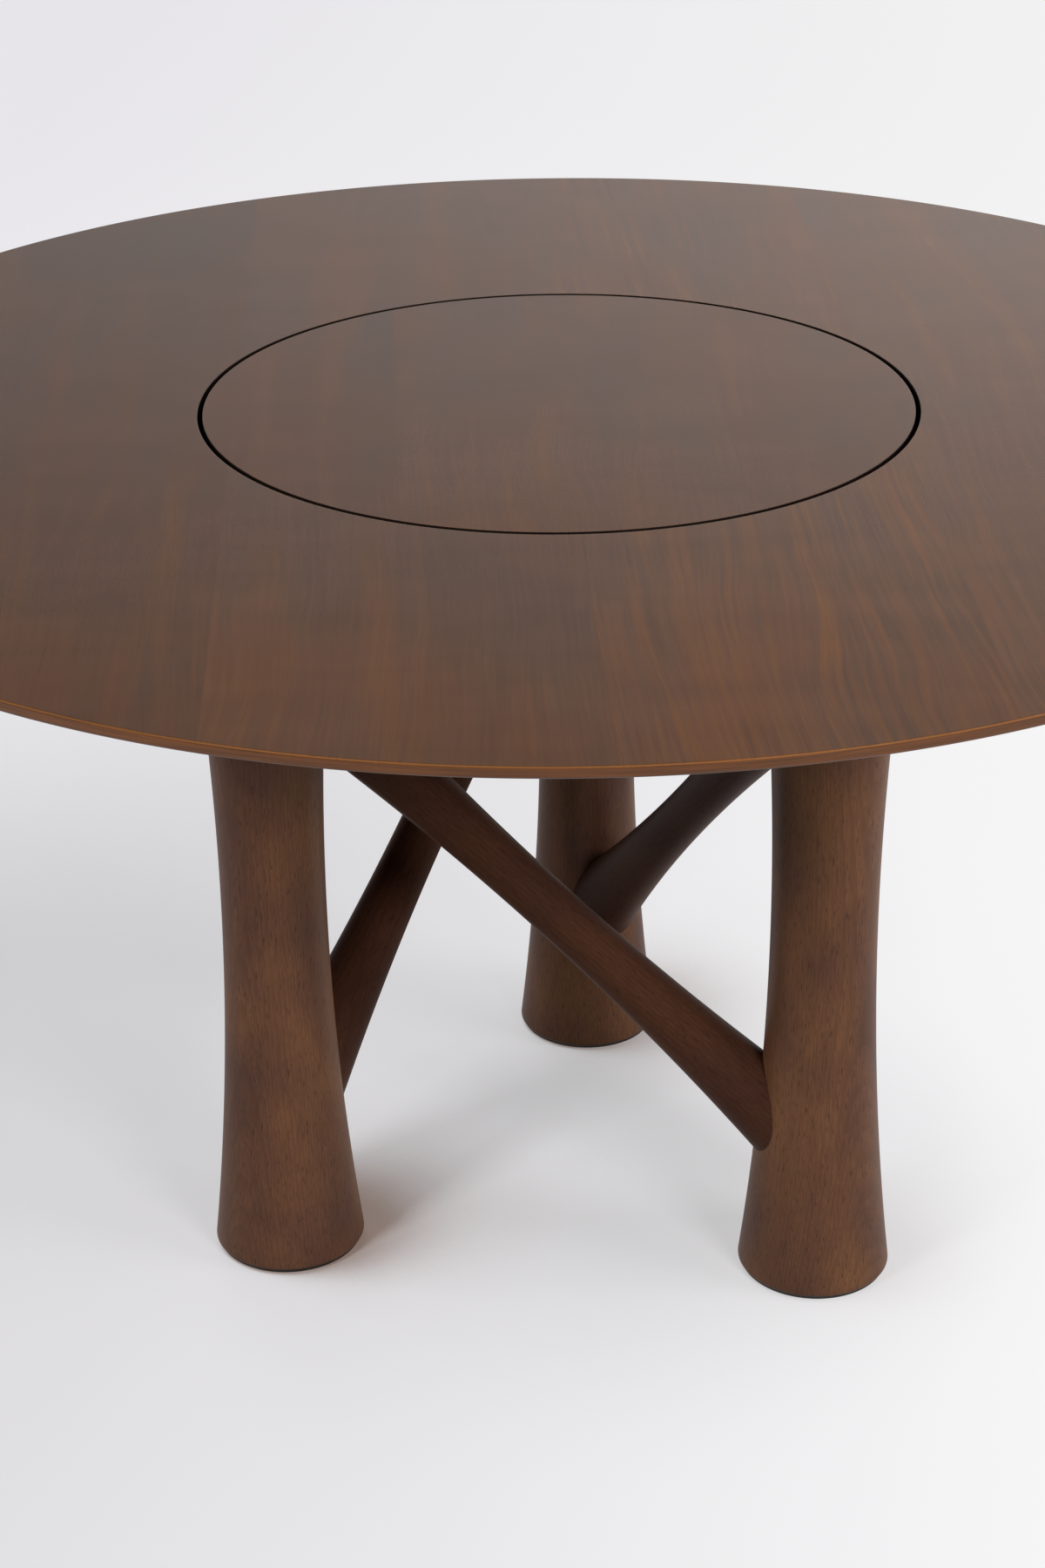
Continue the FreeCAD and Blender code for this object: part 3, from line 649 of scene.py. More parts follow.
@dataclass(frozen=True)
class NylonFinish:
    """Moulded nylon, dull to the eye, with the faint grain of its mould."""

    name: str
    colour: str
    roughness: float = 0.5
    grain: Pattern = Pattern((0.6 * MM, 0.6 * MM, 0.6 * MM), 2.0)
    shade_spread: float = 0.15
    grain_depth: float = 0.05 * MM
    grain_relief: float = 0.2

    def build(self) -> bpy.types.Material:
        """Make the material.

        Returns:
            The finished material.
        """
        material, tree = new_material(self.name)
        add = partial(add_node, tree)
        grain = self.grain.draw(tree, add(PLACE).outputs["Object"])
        shade = add(RANGE, {"Value": grain, **about(1.0, self.shade_spread)})
        base = add(VECTOR, {0: linear(self.colour)[:3], "Scale": shade}, operation="SCALE")
        relief = add("ShaderNodeBump", {"Strength": self.grain_relief, "Distance": self.grain_depth,
                                        "Height": grain})
        finish_surface(tree, {"Base Color": base, "Roughness": self.roughness, "Normal": relief,
                              "IOR": NYLON_IOR})
        return material


class Finishes:
    """All the finishes of the table, built once."""

    # Leaves from left to right. The table is livelier to the right. Each leaf has its own tone, and
    # the tones also rise to the right as painted light, as if the lamps lit that side more
    ring_leaves = (
        Leaf(aside=-0.32, depth=0.09, tone=0.78, lines=0.2),
        Leaf(aside=0.06, depth=0.07, tone=0.83, lines=0.25),
        Leaf(aside=0.03, depth=0.045, tone=0.92, lines=0.3),
        Leaf(aside=-0.34, depth=0.06, tone=0.97, lines=0.85),
        Leaf(aside=0.33, depth=0.08, tone=0.99, lines=0.5),
        Leaf(aside=0.1, depth=0.1, tone=1.0, lines=0.25),
    )
    # The disc's leaves are also darker to the left as painted shade, besides their own tones
    disc_leaves = (
        Leaf(aside=-0.3, depth=0.08, tone=0.86, lines=0.15),
        Leaf(aside=-0.01, depth=0.05, tone=0.93, lines=0.2),
        Leaf(aside=0.3, depth=0.08, tone=0.91, lines=0.2),
    )
    # Grain of each plainer wood: two sizes across it and one along it, or across, along and deep
    lipping_grain = (2.0 * MM, 2.0 * MM, 71.4 * MM)
    backing_grain = (2.63 * MM, 125.0 * MM, 1.0)
    plywood_grain = (3.85 * MM, 143.0 * MM, 1.0)
    dowel_grain = (1.67 * MM, 1.67 * MM, 16.7 * MM)

    def __init__(self) -> None:
        """Build each material."""
        # Satin veneer, dark and quiet, its grain one way on the ring and the disc
        self.ring_veneer = VeneerFinish("walnut_veneer_satin_ring", self.ring_leaves, seed=2.0,
                                        cut_edge=300.1 * MM, cut_face=300.5 * MM).build()
        self.disc_veneer = VeneerFinish("walnut_veneer_satin_disc", self.disc_leaves, seed=41.0,
                                        cut_edge=295.7 * MM, cut_face=295.3 * MM).build()
        # Sprayed stain on turned wood, mottled on the legs, and duller on the braces. The braces are also
        # darker as painted shade, since they stand under the top
        self.turned = TurnedWoodFinish("stained_hardwood_turned").build()
        self.brace = TurnedWoodFinish("stained_hardwood_braces", mid="#4f3328", dark="#2f1d16",
                                      warm="#5d3b2a", gloss=0.05).build()
        # A warm brown line round the rim, and the gap's walls near black as painted shade
        self.lipping = PlainWoodFinish("walnut_lipping_satin", light="#774722", dark="#53311b",
                                       grain=self.lipping_grain, roughness=0.36, from_attribute=True).build()
        self.gap = PlainWoodFinish("walnut_lipping_stained_dark", light="#20150f", dark="#150d09",
                                   grain=self.lipping_grain, roughness=0.5, from_attribute=True).build()
        # Dull brown undersides, and pale dowels
        self.backing = PlainWoodFinish("walnut_backing_veneer", light="#513629", dark="#3b271e",
                                       grain=self.backing_grain, roughness=0.5).build()
        self.well = PlainWoodFinish("stained_plywood", light="#3f2b22", dark="#2a1c16",
                                    grain=self.plywood_grain, roughness=0.55).build()
        self.dowel = PlainWoodFinish("beech_dowel", light="#c79f70", dark="#ab8256",
                                     grain=self.dowel_grain, roughness=0.6).build()
        # Satin grey rings, mirror-bright balls, and screws with a grey shine
        self.alloy = MetalFinish("anodised_aluminium_turned", colour="#b9bbbd", roughness=0.34).build()
        self.ball = MetalFinish("bearing_steel_polished", colour="#c2c4c8", roughness=0.08).build()
        self.zinc = MetalFinish("zinc_plated_steel", colour="#a9a9a4", roughness=0.3).build()
        # A milky cage, and glides that read as a black line under each foot
        self.cage = NylonFinish("nylon_natural_moulded", colour="#d9d6c8").build()
        self.glide = NylonFinish("nylon_black_moulded", colour="#151312", roughness=0.55).build()


def settle(piece: bpy.types.Object, body: Body, slot: Slot, *nodes: str) -> None:
    """Hand a finished piece to the frame.

    Args:
        piece: The piece, in its place.
        body: The body that it rides on.
        slot: The record's material slot for it; not used.
        nodes: The nodes that it stands for.
    """
    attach(piece, body.value)
    if nodes:
        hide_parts(*nodes)
    log.info("%s: %d faces on %s", piece.name, len(piece.data.polygons), body.value)


def new_piece(name: str, mesh: bpy.types.Mesh, material: bpy.types.Material) -> bpy.types.Object:
    """Link a mesh to the scene as one smooth piece.

    Args:
        name: The piece's name.
        mesh: Its mesh, in place.
        material: Its finish.

    Returns:
        The new object.
    """
    mesh.materials.clear()
    mesh.materials.append(material)
    mesh.polygons.foreach_set("use_smooth", [True] * len(mesh.polygons))
    mesh.set_sharp_from_angle(angle=SHARP_ANGLE)
    piece = bpy.data.objects.new(name, mesh)
    bpy.context.scene.collection.objects.link(piece)
    return piece


def arc(centre: Pair, radius: float, start: float, end: float, steps: int) -> Profile:
    """Points of an arc in a profile.

    Args:
        centre: Its centre as (distance from the axis, height).
        radius: Its radius.
        start: First angle in degrees, from the outward direction towards up.
        end: Last angle in degrees.
        steps: How many pieces the arc has.

    Returns:
        The arc's points, both ends included.
    """
    angles = [math.radians(start + (end - start) * step / steps) for step in range(steps + 1)]
    return [(centre[0] + radius * math.cos(angle), centre[1] + radius * math.sin(angle)) for angle in angles]


def wood_mesh(name: str, points: list[Triple] | list[Vector], faces: list[list[int]],
              wood: list[Triple]) -> bpy.types.Mesh:
    """Make a mesh that knows where each of its points was in the wood.

    Args:
        name: The mesh's name.
        points: Its points.
        faces: Corners of each face, by the points' numbers.
        wood: Place in the wood of each point.

    Returns:
        The mesh.
    """
    mesh = bpy.data.meshes.new(name)
    mesh.from_pydata(points, [], faces)
    attribute = mesh.attributes.new(WOOD_AT, "FLOAT_VECTOR", "POINT")
    attribute.data.foreach_set("vector", [value for place in wood for value in place])
    mesh.validate()
    return mesh


def turn_profile(name: str, profile: Profile, segments: int) -> bpy.types.Mesh:
    """Turn a closed profile about the table's axis.

    Points on the axis become one pole. The wood runs round the edge, so each point's place in it is
    its place in the profile and the length of its arc.

    Args:
        name: The mesh's name.
        profile: Points as (distance from the axis, height), anticlockwise with the axis on the left.
        segments: How many faces go round.

    Returns:
        The closed mesh.
    """
    points: list[Triple] = []
    wood: list[Triple] = []
    rings: list[list[int]] = []
    for across, up in profile:
        first = len(points)
        count = 1 if across == 0.0 else segments
        for step in range(count):
            angle = math.tau * step / segments
            points.append((across * math.cos(angle), across * math.sin(angle), up))
            wood.append((across, up, angle * across))
        rings.append([first + step % count for step in range(segments)])
    faces: list[list[int]] = []
    for index, low in enumerate(rings):
        high = rings[(index + 1) % len(rings)]
        for step in range(segments):
            after = (step + 1) % segments
            distinct = list(dict.fromkeys([low[step], low[after], high[after], high[step]]))
            if len(distinct) > 2:
                faces.append(distinct)
    return wood_mesh(name, points, faces, wood)


@dataclass(frozen=True)
class TurnedPart:
    """A piece turned about the table's axis: its section, its finish and the node that it stands for."""

    name: str
    node: str
    section: Profile
    material: bpy.types.Material
    slot: Slot

    def place(self, body: Body, segments: int) -> None:
        """Turn the piece and hand it to the frame.

        Args:
            body: The body that it rides on.
            segments: How many faces go round.
        """
        piece = new_piece(self.name, turn_profile(self.name, self.section, segments), self.material)
        settle(piece, body, self.slot, self.node)


@dataclass
class TableTop:
    """The ring top: core, two lippings and the face veneer."""

    finishes: Finishes
    radius: float = 700.0 * MM
    opening: float = 300.0 * MM
    height: float = field(default_factory=lambda: CAD_BOX[1][2])
    under: float = field(default_factory=lambda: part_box("top_core")[0][2])
    veneer: float = 0.9 * MM
    edge_thickness: float = 9.0 * MM
    edge_round: float = 2.0 * MM
    # The round under the rim stops where it meets the bevel
    under_round: float = 2.5 * MM
    under_start: float = -80.0
    bevel_width: float = 110.0 * MM
    edge_lipping: float = 35.0 * MM
    opening_lipping: float = 12.0 * MM
    arris: float = 0.35 * MM
    segments: int = 480
    # Faces across each half of the edge's round, across the round under it and across an arris
    edge_steps: int = 5
    under_steps: int = 6
    arris_steps: int = 4
    # A ring of points this close to a round keeps the flat beside it flat in shading
    support: float = 0.4 * MM

    def build(self) -> None:
        """Make all four pieces."""
        veneer_under = self.height - self.veneer
        rim_under = self.height - self.edge_thickness
        slope = (rim_under - self.under) / self.bevel_width
        band = self.radius - self.edge_lipping
        band_under = rim_under - slope * self.edge_lipping
        lining = self.opening + self.opening_lipping
        round_start = self.radius - self.edge_round
        split = math.degrees(math.asin((self.edge_round - self.veneer) / self.edge_round))
        corner = (round_start, self.height - self.edge_round)
        low_corner = (self.radius - self.under_round, rim_under + self.under_round)
        arris = (self.opening + self.arris, self.height - self.arris)

        veneer = arc(corner, self.edge_round, split, 90.0, self.edge_steps)
        veneer += [(round_start - self.support, self.height), (arris[0] + self.support, self.height)]
        veneer += arc(arris, self.arris, 90.0, 180.0, self.arris_steps) + [(self.opening, veneer_under)]
        edge = [(band, band_under)]
        edge += arc(low_corner, self.under_round, self.under_start, 0.0, self.under_steps)
        edge += arc(corner, self.edge_round, 0.0, split, self.edge_steps) + [(band, veneer_under)]
        hole = [(self.opening, self.under), (lining, self.under), (lining, veneer_under),
                (self.opening, veneer_under)]
        panel = [(lining, self.under), (self.radius - self.bevel_width, self.under), (band, band_under),
                 (band, veneer_under), (lining, veneer_under)]
        looks = self.finishes
        for part in (
            TurnedPart("top_face_veneer", "top_veneer", veneer, looks.ring_veneer, Slot.VENEER),
            TurnedPart("top_edge_band", "top_edge_lipping", edge, looks.lipping, Slot.LIPPING),
            TurnedPart("top_opening_lining", "top_opening_lipping", hole, looks.gap, Slot.LIPPING),
            TurnedPart("top_panel", "top_core", panel, looks.backing, Slot.CORE),
        ):
            part.place(Body.BASE, self.segments)


@dataclass
class Turntable:
    """The disc in the opening: its lipping and its veneer. Its core keeps the shape of its node."""

    finishes: Finishes
    height: float = field(default_factory=lambda: CAD_BOX[1][2])
    under: float = field(default_factory=lambda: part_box("turntable_core")[0][2])
    radius: float = 295.8 * MM
    lipping: float = 12.0 * MM
    veneer: float = 0.9 * MM
    arris: float = 0.35 * MM
    arris_steps: int = 4
    segments: int = 320
    support: float = 0.4 * MM

    def build(self) -> None:
        """Make the two pieces that show."""
        veneer_under = self.height - self.veneer
        inner = self.radius - self.lipping
        arris = (self.radius - self.arris, self.height - self.arris)
        face = [(0.0, veneer_under), (self.radius, veneer_under)]
        face += arc(arris, self.arris, 0.0, 90.0, self.arris_steps)
        face += [(arris[0] - self.support, self.height), (0.0, self.height)]
        band = [(inner, self.under), (self.radius, self.under), (self.radius, veneer_under),
                (inner, veneer_under)]
        looks = self.finishes
        for part in (
            TurnedPart("turntable_face_veneer", "turntable_veneer", face, looks.disc_veneer, Slot.VENEER),
            TurnedPart("turntable_edge_band", "turntable_lipping", band, looks.gap, Slot.LIPPING),
        ):
            part.place(Body.TURNTABLE, self.segments)


@dataclass(frozen=True)
class Hourglass:
    """A turned shape that is drawn in to a waist half-way along."""

    waist: float
    flare: float
    start: float
    end: float

    def radius(self, along: float) -> float:
        """Find the radius at a place on the axis.

        Args:
            along: Distance along the axis.

        Returns:
            The radius there.
        """
        half = (self.end - self.start) / 2.0
        share = (along - self.start - half) / half
        return self.waist + self.flare * share * share


@dataclass(frozen=True)
class ScrewRing:
    """Countersunk screws set out evenly on a circle about the table's axis."""

    count: int
    circle: float
    head_at: float
    head: float
    shank: float
    length: float
    turn: float = 0.0
    points_up: bool = True


GLIDE_SCREWS = ScrewRing(count=3, circle=272.0 * MM, head_at=0.8 * MM, head=3.5 * MM, shank=1.75 * MM,
                         length=25.0 * MM, turn=math.pi / 2.0)
FLOOR_SCREWS = ScrewRing(count=12, circle=362.0 * MM, head_at=700.0 * MM, head=5.0 * MM, shank=2.5 * MM,
                         length=40.0 * MM)
BASE_RING_SCREWS = ScrewRing(count=8, circle=188.3 * MM, head_at=730.5 * MM, head=4.0 * MM, shank=2.0 * MM,
                             length=20.0 * MM, points_up=False)
TURNTABLE_SCREWS = ScrewRing(count=8, circle=161.7 * MM, head_at=723.5 * MM, head=4.0 * MM, shank=2.0 * MM,
                             length=20.0 * MM)


def new_group(name: str, inputs: dict[str, str]) -> tuple[bpy.types.NodeTree, bpy.types.NodeOutputs]:
    """Start a Geometry Nodes tree with named inputs.

    Args:
        name: The tree's name.
        inputs: Kind of each input, by its name.

    Returns:
        The tree and the outputs of its input node.
    """
    group = bpy.data.node_groups.new(name, "GeometryNodeTree")
    for label, kind in inputs.items():
        group.interface.new_socket(name=label, in_out="INPUT", socket_type=f"NodeSocket{kind}")
    group.interface.new_socket(name="Geometry", in_out="OUTPUT", socket_type="NodeSocketGeometry")
    return group, add_node(group, "NodeGroupInput").outputs


def end_group(group: bpy.types.NodeTree, geometry: NodeInput, material: bpy.types.NodeSocket) -> None:
    """End a Geometry Nodes tree in real geometry with its finish.

    Args:
        group: The tree.
        geometry: What the tree has made.
        material: The input that holds the finish.
    """
    real = add_node(group, "GeometryNodeRealizeInstances", {"Geometry": geometry})
    dressed = add_node(group, "GeometryNodeSetMaterial", {"Geometry": real, "Material": material})
    add_node(group, "NodeGroupOutput", {"Geometry": dressed})


def grown_piece(name: str, tree: bpy.types.NodeTree, values: dict[str, object],
                material: bpy.types.Material) -> bpy.types.Object:
    """Run a Geometry Nodes tree once and keep its result as a plain piece.

    Args:
        name: The piece's name.
        tree: The tree, with an input named Material.
        values: A value for each of its other inputs, by name.
        material: The piece's finish.

    Returns:
        The new piece.
    """
    given = {**values, "Material": material}
    holder = bpy.data.objects.new(name + "_holder", bpy.data.meshes.new(name + "_holder"))
    bpy.context.scene.collection.objects.link(holder)
    modifier = holder.modifiers.new("grown", "NODES")
    modifier.node_group = tree
    for item in tree.interface.items_tree:
        if item.in_out == "INPUT":
            modifier[item.identifier] = given[item.name]
    graph = bpy.context.evaluated_depsgraph_get()
    mesh = bpy.data.meshes.new_from_object(holder.evaluated_get(graph), preserve_all_data_layers=True,
                                           depsgraph=graph)
    mesh.name = name
    holder.modifiers.clear()
    bpy.data.objects.remove(holder)
    return new_piece(name, mesh, material)


@dataclass
class Legs:
    """Three turned legs on their glides, shaped by one Geometry Nodes tree."""

    finishes: Finishes
    circle: float = 272.0 * MM
    waist: float = 45.2 * MM
    flare: float = 21.3 * MM
    foot_round: float = 3.0 * MM
    foot: float = field(default_factory=lambda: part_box("leg_right")[0][2])
    top: float = field(default_factory=lambda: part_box("leg_right")[1][2])
    glide_setback: float = 7.5 * MM
    glide_chamfer: float = 1.0 * MM
    segments: int = 144
    rings: int = 110
    foot_rings: int = 8
    # Where each leg's axis lay from the heart of its log
    hearts: dict[Leg, Triple] = field(default_factory=lambda: {
        Leg.RIGHT: (0.070, -0.055, 0.3), Leg.BACK: (-0.085, 0.06, 2.0), Leg.LEFT: (0.06, 0.10, 4.0)})

    @property
    def shape(self) -> Hourglass:
        """The leg's outline above its foot round."""
        return Hourglass(self.waist, self.flare, self.foot + self.foot_round, self.top)

    def axis(self, leg: Leg) -> Vector:
        """Where a leg's axis meets the floor."""
        return leg.heading * self.circle

    def tree(self) -> bpy.types.NodeTree:
        """Geometry Nodes tree that turns one leg.

        Returns:
            The tree, with named inputs for the leg's sizes.
        """
        group, given = new_group("turned_leg", {
            "Foot": "Float", "Top": "Float", "Waist": "Float", "Flare": "Float", "Foot Round": "Float",
            "Place": "Vector", "Heart": "Vector", "Material": "Material"})
        add = partial(add_node, group)
        blank = add("GeometryNodeMeshCylinder", {"Vertices": self.segments, "Side Segments": self.rings,
                                                 "Radius": 1.0, "Depth": 1.0})
        spot = add(SPLIT, {0: add("GeometryNodeInputPosition")}).outputs

        # Ring number, counted from the floor. The first few rings go round the foot
        ring = add(MATH, {0: spot[2], 1: float(self.rings), 2: self.rings / 2.0}, operation="MULTIPLY_ADD")
        turn = add(RANGE, {"Value": ring, **span((0.0, self.foot_rings)), "To Max": math.pi / 2.0})
        rise = add(RANGE, {"Value": ring, **span((self.foot_rings, self.rings))})
        cosine = add(MATH, {0: turn}, operation="COSINE")
        up_round = add(MATH, {0: 1.0, 1: cosine}, operation="SUBTRACT")
        shaft_start = add(MATH, {0: given["Foot"], 1: given["Foot Round"]}, operation="ADD")
        shaft = add(MATH, {0: given["Top"], 1: shaft_start}, operation="SUBTRACT")
        lift = add(MATH, {0: up_round, 1: given["Foot Round"], 2: given["Foot"]}, operation="MULTIPLY_ADD")
        height = add(MATH, {0: rise, 1: shaft, 2: lift}, operation="MULTIPLY_ADD")

        # Radius: a parabola from the waist, less the foot round
        share = add(MATH, {0: rise, 1: 2.0, 2: -1.0}, operation="MULTIPLY_ADD")
        bulge = add(MATH, {0: share, 1: share}, operation="MULTIPLY")
        body = add(MATH, {0: bulge, 1: given["Flare"], 2: given["Waist"]}, operation="MULTIPLY_ADD")
        sine = add(MATH, {0: turn}, operation="SINE")
        tuck = add(MATH, {0: 1.0, 1: sine}, operation="SUBTRACT")
        tucked = add(MATH, {0: tuck, 1: given["Foot Round"]}, operation="MULTIPLY")
        radius = add(MATH, {0: body, 1: tucked}, operation="SUBTRACT")
        across = add(MATH, {0: spot[0], 1: radius}, operation="MULTIPLY")
        aside = add(MATH, {0: spot[1], 1: radius}, operation="MULTIPLY")
        turned = add(JOIN, {0: across, 1: aside, 2: height})
        shaped = add("GeometryNodeSetPosition", {"Geometry": blank, "Position": turned})

        # The wood is marked before the leg is stood in its place
        mark = add(VECTOR, {0: add("GeometryNodeInputPosition"), 1: given["Heart"]}, operation="ADD")
        marked = add("GeometryNodeStoreNamedAttribute", {"Geometry": shaped, "Name": WOOD_AT, "Value": mark},
                     data_type="FLOAT_VECTOR")
        stood = add("GeometryNodeTransform", {"Geometry": marked, "Translation": given["Place"]})
        end_group(group, stood, given["Material"])
        return group

    def build(self) -> None:
        """Make the legs and their glides."""
        tree = self.tree()
        for leg in Leg:
            sizes = {"Foot": self.foot, "Top": self.top, "Waist": self.waist, "Flare": self.flare,
                     "Foot Round": self.foot_round, "Place": self.axis(leg), "Heart": self.hearts[leg]}
            piece = grown_piece(f"leg_{leg.word}_turned", tree, sizes, self.finishes.turned)
            settle(piece, Body.BASE, Slot.TURNED_WOOD, f"leg_{leg.word}")
            self.build_glide(leg, GLIDE_SCREWS)

    def build_glide(self, leg: Leg, screw: ScrewRing) -> None:
        """Make one foot glide, with a countersunk hole and a thin flange under the foot.

        Args:
            leg: The leg that it is under.
            screw: The screw that holds it.
        """
        foot_edge = self.shape.radius(self.foot + self.foot_round)
        edge = foot_edge - self.glide_setback
        lip = foot_edge - self.foot_round
        neck = screw.head_at + screw.head - screw.shank
        profile = [(screw.head, 0.0), (edge - self.glide_chamfer, 0.0), (edge, self.glide_chamfer),
                   (lip, self.glide_chamfer), (lip, self.foot), (screw.shank, self.foot), (screw.shank, neck),
                   (screw.head, screw.head_at)]
        name = f"glide_{leg.word}_moulded"
        mesh = turn_profile(name, profile, self.segments)
        mesh.transform(Matrix.Translation(self.axis(leg)))
        settle(new_piece(name, mesh, self.finishes.glide), Body.BASE, Slot.GLIDE, f"foot_glide_{leg.word}")


@dataclass
class Brace:
    """One turned brace, which climbs from one leg to the next, each end hollowed to sit on its leg."""

    legs: Legs
    low_leg: Leg
    high_leg: Leg
    number: int
    low: float = 117.0 * MM
    high_drop: float = 120.0 * MM
    waist: float = 21.9 * MM
    flare: float = 19.7 * MM
    segments: int = 112
    rings: int = 96
    end_rings: int = 7
    # Where the first brace's axis lay from the heart of its log, and how far on the next one lay
    heart: Triple = (0.05, 0.075, 7.0)
    heart_step: Triple = (0.02, 0.0, 1.0)
    # How often the search for the leg's surface halves its stretch
    halvings: int = 40

    def __post_init__(self) -> None:
        """Work out the axis and the directions across it, and start with no points."""
        self.start = self.legs.axis(self.low_leg) + Vector((0.0, 0.0, self.low))
        finish = self.legs.axis(self.high_leg) + Vector((0.0, 0.0, self.legs.top - self.high_drop))
        self.way = finish - self.start
        self.length = self.way.length
        self.way.normalize()
        self.level = self.way.cross(Vector((0.0, 0.0, 1.0))).normalized()
        self.upper = self.level.cross(self.way)
        self.shape = Hourglass(self.waist, self.flare, 0.0, self.length)
        self.log_at = [first + step * self.number for first, step in zip(self.heart, self.heart_step)]
        self.angles = [math.tau * step / self.segments for step in range(self.segments)]
        self.points: list[Vector] = []
        self.wood: list[Triple] = []

    @property
    def name(self) -> str:
        """The brace's node."""
        return f"brace_{self.low_leg.word}_to_{self.high_leg.word}"

    def spot(self, along: float, angle: float, share: float) -> Vector:
        """Find a spot of the brace in space.

        Args:
            along: Distance along the axis.
            angle: Angle about the axis.
            share: Distance from the axis as a share of the radius there.

        Returns:
            The spot.
        """
        reach = share * self.shape.radius(along)
        across = self.level * math.cos(angle) + self.upper * math.sin(angle)
        return self.start + self.way * along + across * reach

    def seat(self, leg: Leg, angle: float, share: float) -> float:
        """Find where a line of the brace's wood meets a leg's surface.

        Args:
            leg: The leg.
            angle: The line's angle about the axis.
            share: The line's distance from the axis as a share of the radius.

        Returns:
            Distance along the brace.
        """
        inside = 0.0 if leg is self.low_leg else self.length
        outside = self.length / 2.0
        foot = self.legs.axis(leg)
        for _ in range(self.halvings):
            middle = (inside + outside) / 2.0
            place = self.spot(middle, angle, share)
            if math.hypot(place.x - foot.x, place.y - foot.y) < self.legs.shape.radius(place.z):
                inside = middle
            else:
                outside = middle
        return outside

    def add_point(self, along: float, angle: float, share: float) -> int:
        """Add a point and its place in the wood.

        Args:
            along: Distance along the axis.
            angle: Angle about the axis.
            share: Distance from the axis as a share of the radius there.

        Returns:
            The point's number.
        """
        reach = share * self.shape.radius(along)
        self.points.append(self.spot(along, angle, share))
        self.wood.append((self.log_at[0] + reach * math.cos(angle), self.log_at[1] + reach * math.sin(angle),
                          self.log_at[2] + along))
        return len(self.points) - 1

    def add_seat_ring(self, leg: Leg, ring: int) -> list[int]:
        """Add one ring of points on the end that sits on a leg.

        Args:
            leg: The leg.
            ring: The ring's number, counted from the middle of the end.

        Returns:
            The points' numbers.
        """
        share = ring / self.end_rings
        return [self.add_point(self.seat(leg, angle, share), angle, share) for angle in self.angles]

    def mesh(self, name: str) -> bpy.types.Mesh:
        """Make the brace's mesh.

        Args:
            name: The mesh's name.

        Returns:
            The closed mesh.
        """
        lows = [self.seat(self.low_leg, angle, 1.0) for angle in self.angles]
        highs = [self.seat(self.high_leg, angle, 1.0) for angle in self.angles]
        loops = [self.add_seat_ring(self.low_leg, ring) for ring in range(1, self.end_rings + 1)]
        for ring in range(1, self.rings):
            share = ring / self.rings
            loops.append([self.add_point(low + (high - low) * share, angle, 1.0)
                          for low, high, angle in zip(lows, highs, self.angles)])
        loops += [self.add_seat_ring(self.high_leg, ring) for ring in range(self.end_rings, 0, -1)]
        faces: list[list[int]] = []
        steps = [(step, (step + 1) % self.segments) for step in range(self.segments)]
        for first, second in zip(loops, loops[1:]):
            faces += [[first[step], first[after], second[after], second[step]] for step, after in steps]
        for loop, leg, order in ((loops[0], self.low_leg, -1), (loops[-1], self.high_leg, 1)):
            pole = self.add_point(self.seat(leg, 0.0, 0.0), 0.0, 0.0)
            faces += [[loop[step], loop[after], pole][::order] for step, after in steps]
        return wood_mesh(name, self.points, faces, self.wood)


@dataclass
class Braces:
    """Three braces, each from low on one leg to high on the next."""

    finishes: Finishes
    legs: Legs
    routes: tuple[tuple[Leg, Leg], ...] = ((Leg.RIGHT, Leg.LEFT), (Leg.LEFT, Leg.BACK), (Leg.BACK, Leg.RIGHT))

    def build(self) -> None:
        """Make each brace."""
        for number, (low_leg, high_leg) in enumerate(self.routes):
            brace = Brace(self.legs, low_leg, high_leg, number)
            name = brace.name + "_turned"
            piece = new_piece(name, brace.mesh(name), self.finishes.brace)
            settle(piece, Body.BASE, Slot.TURNED_WOOD, brace.name)


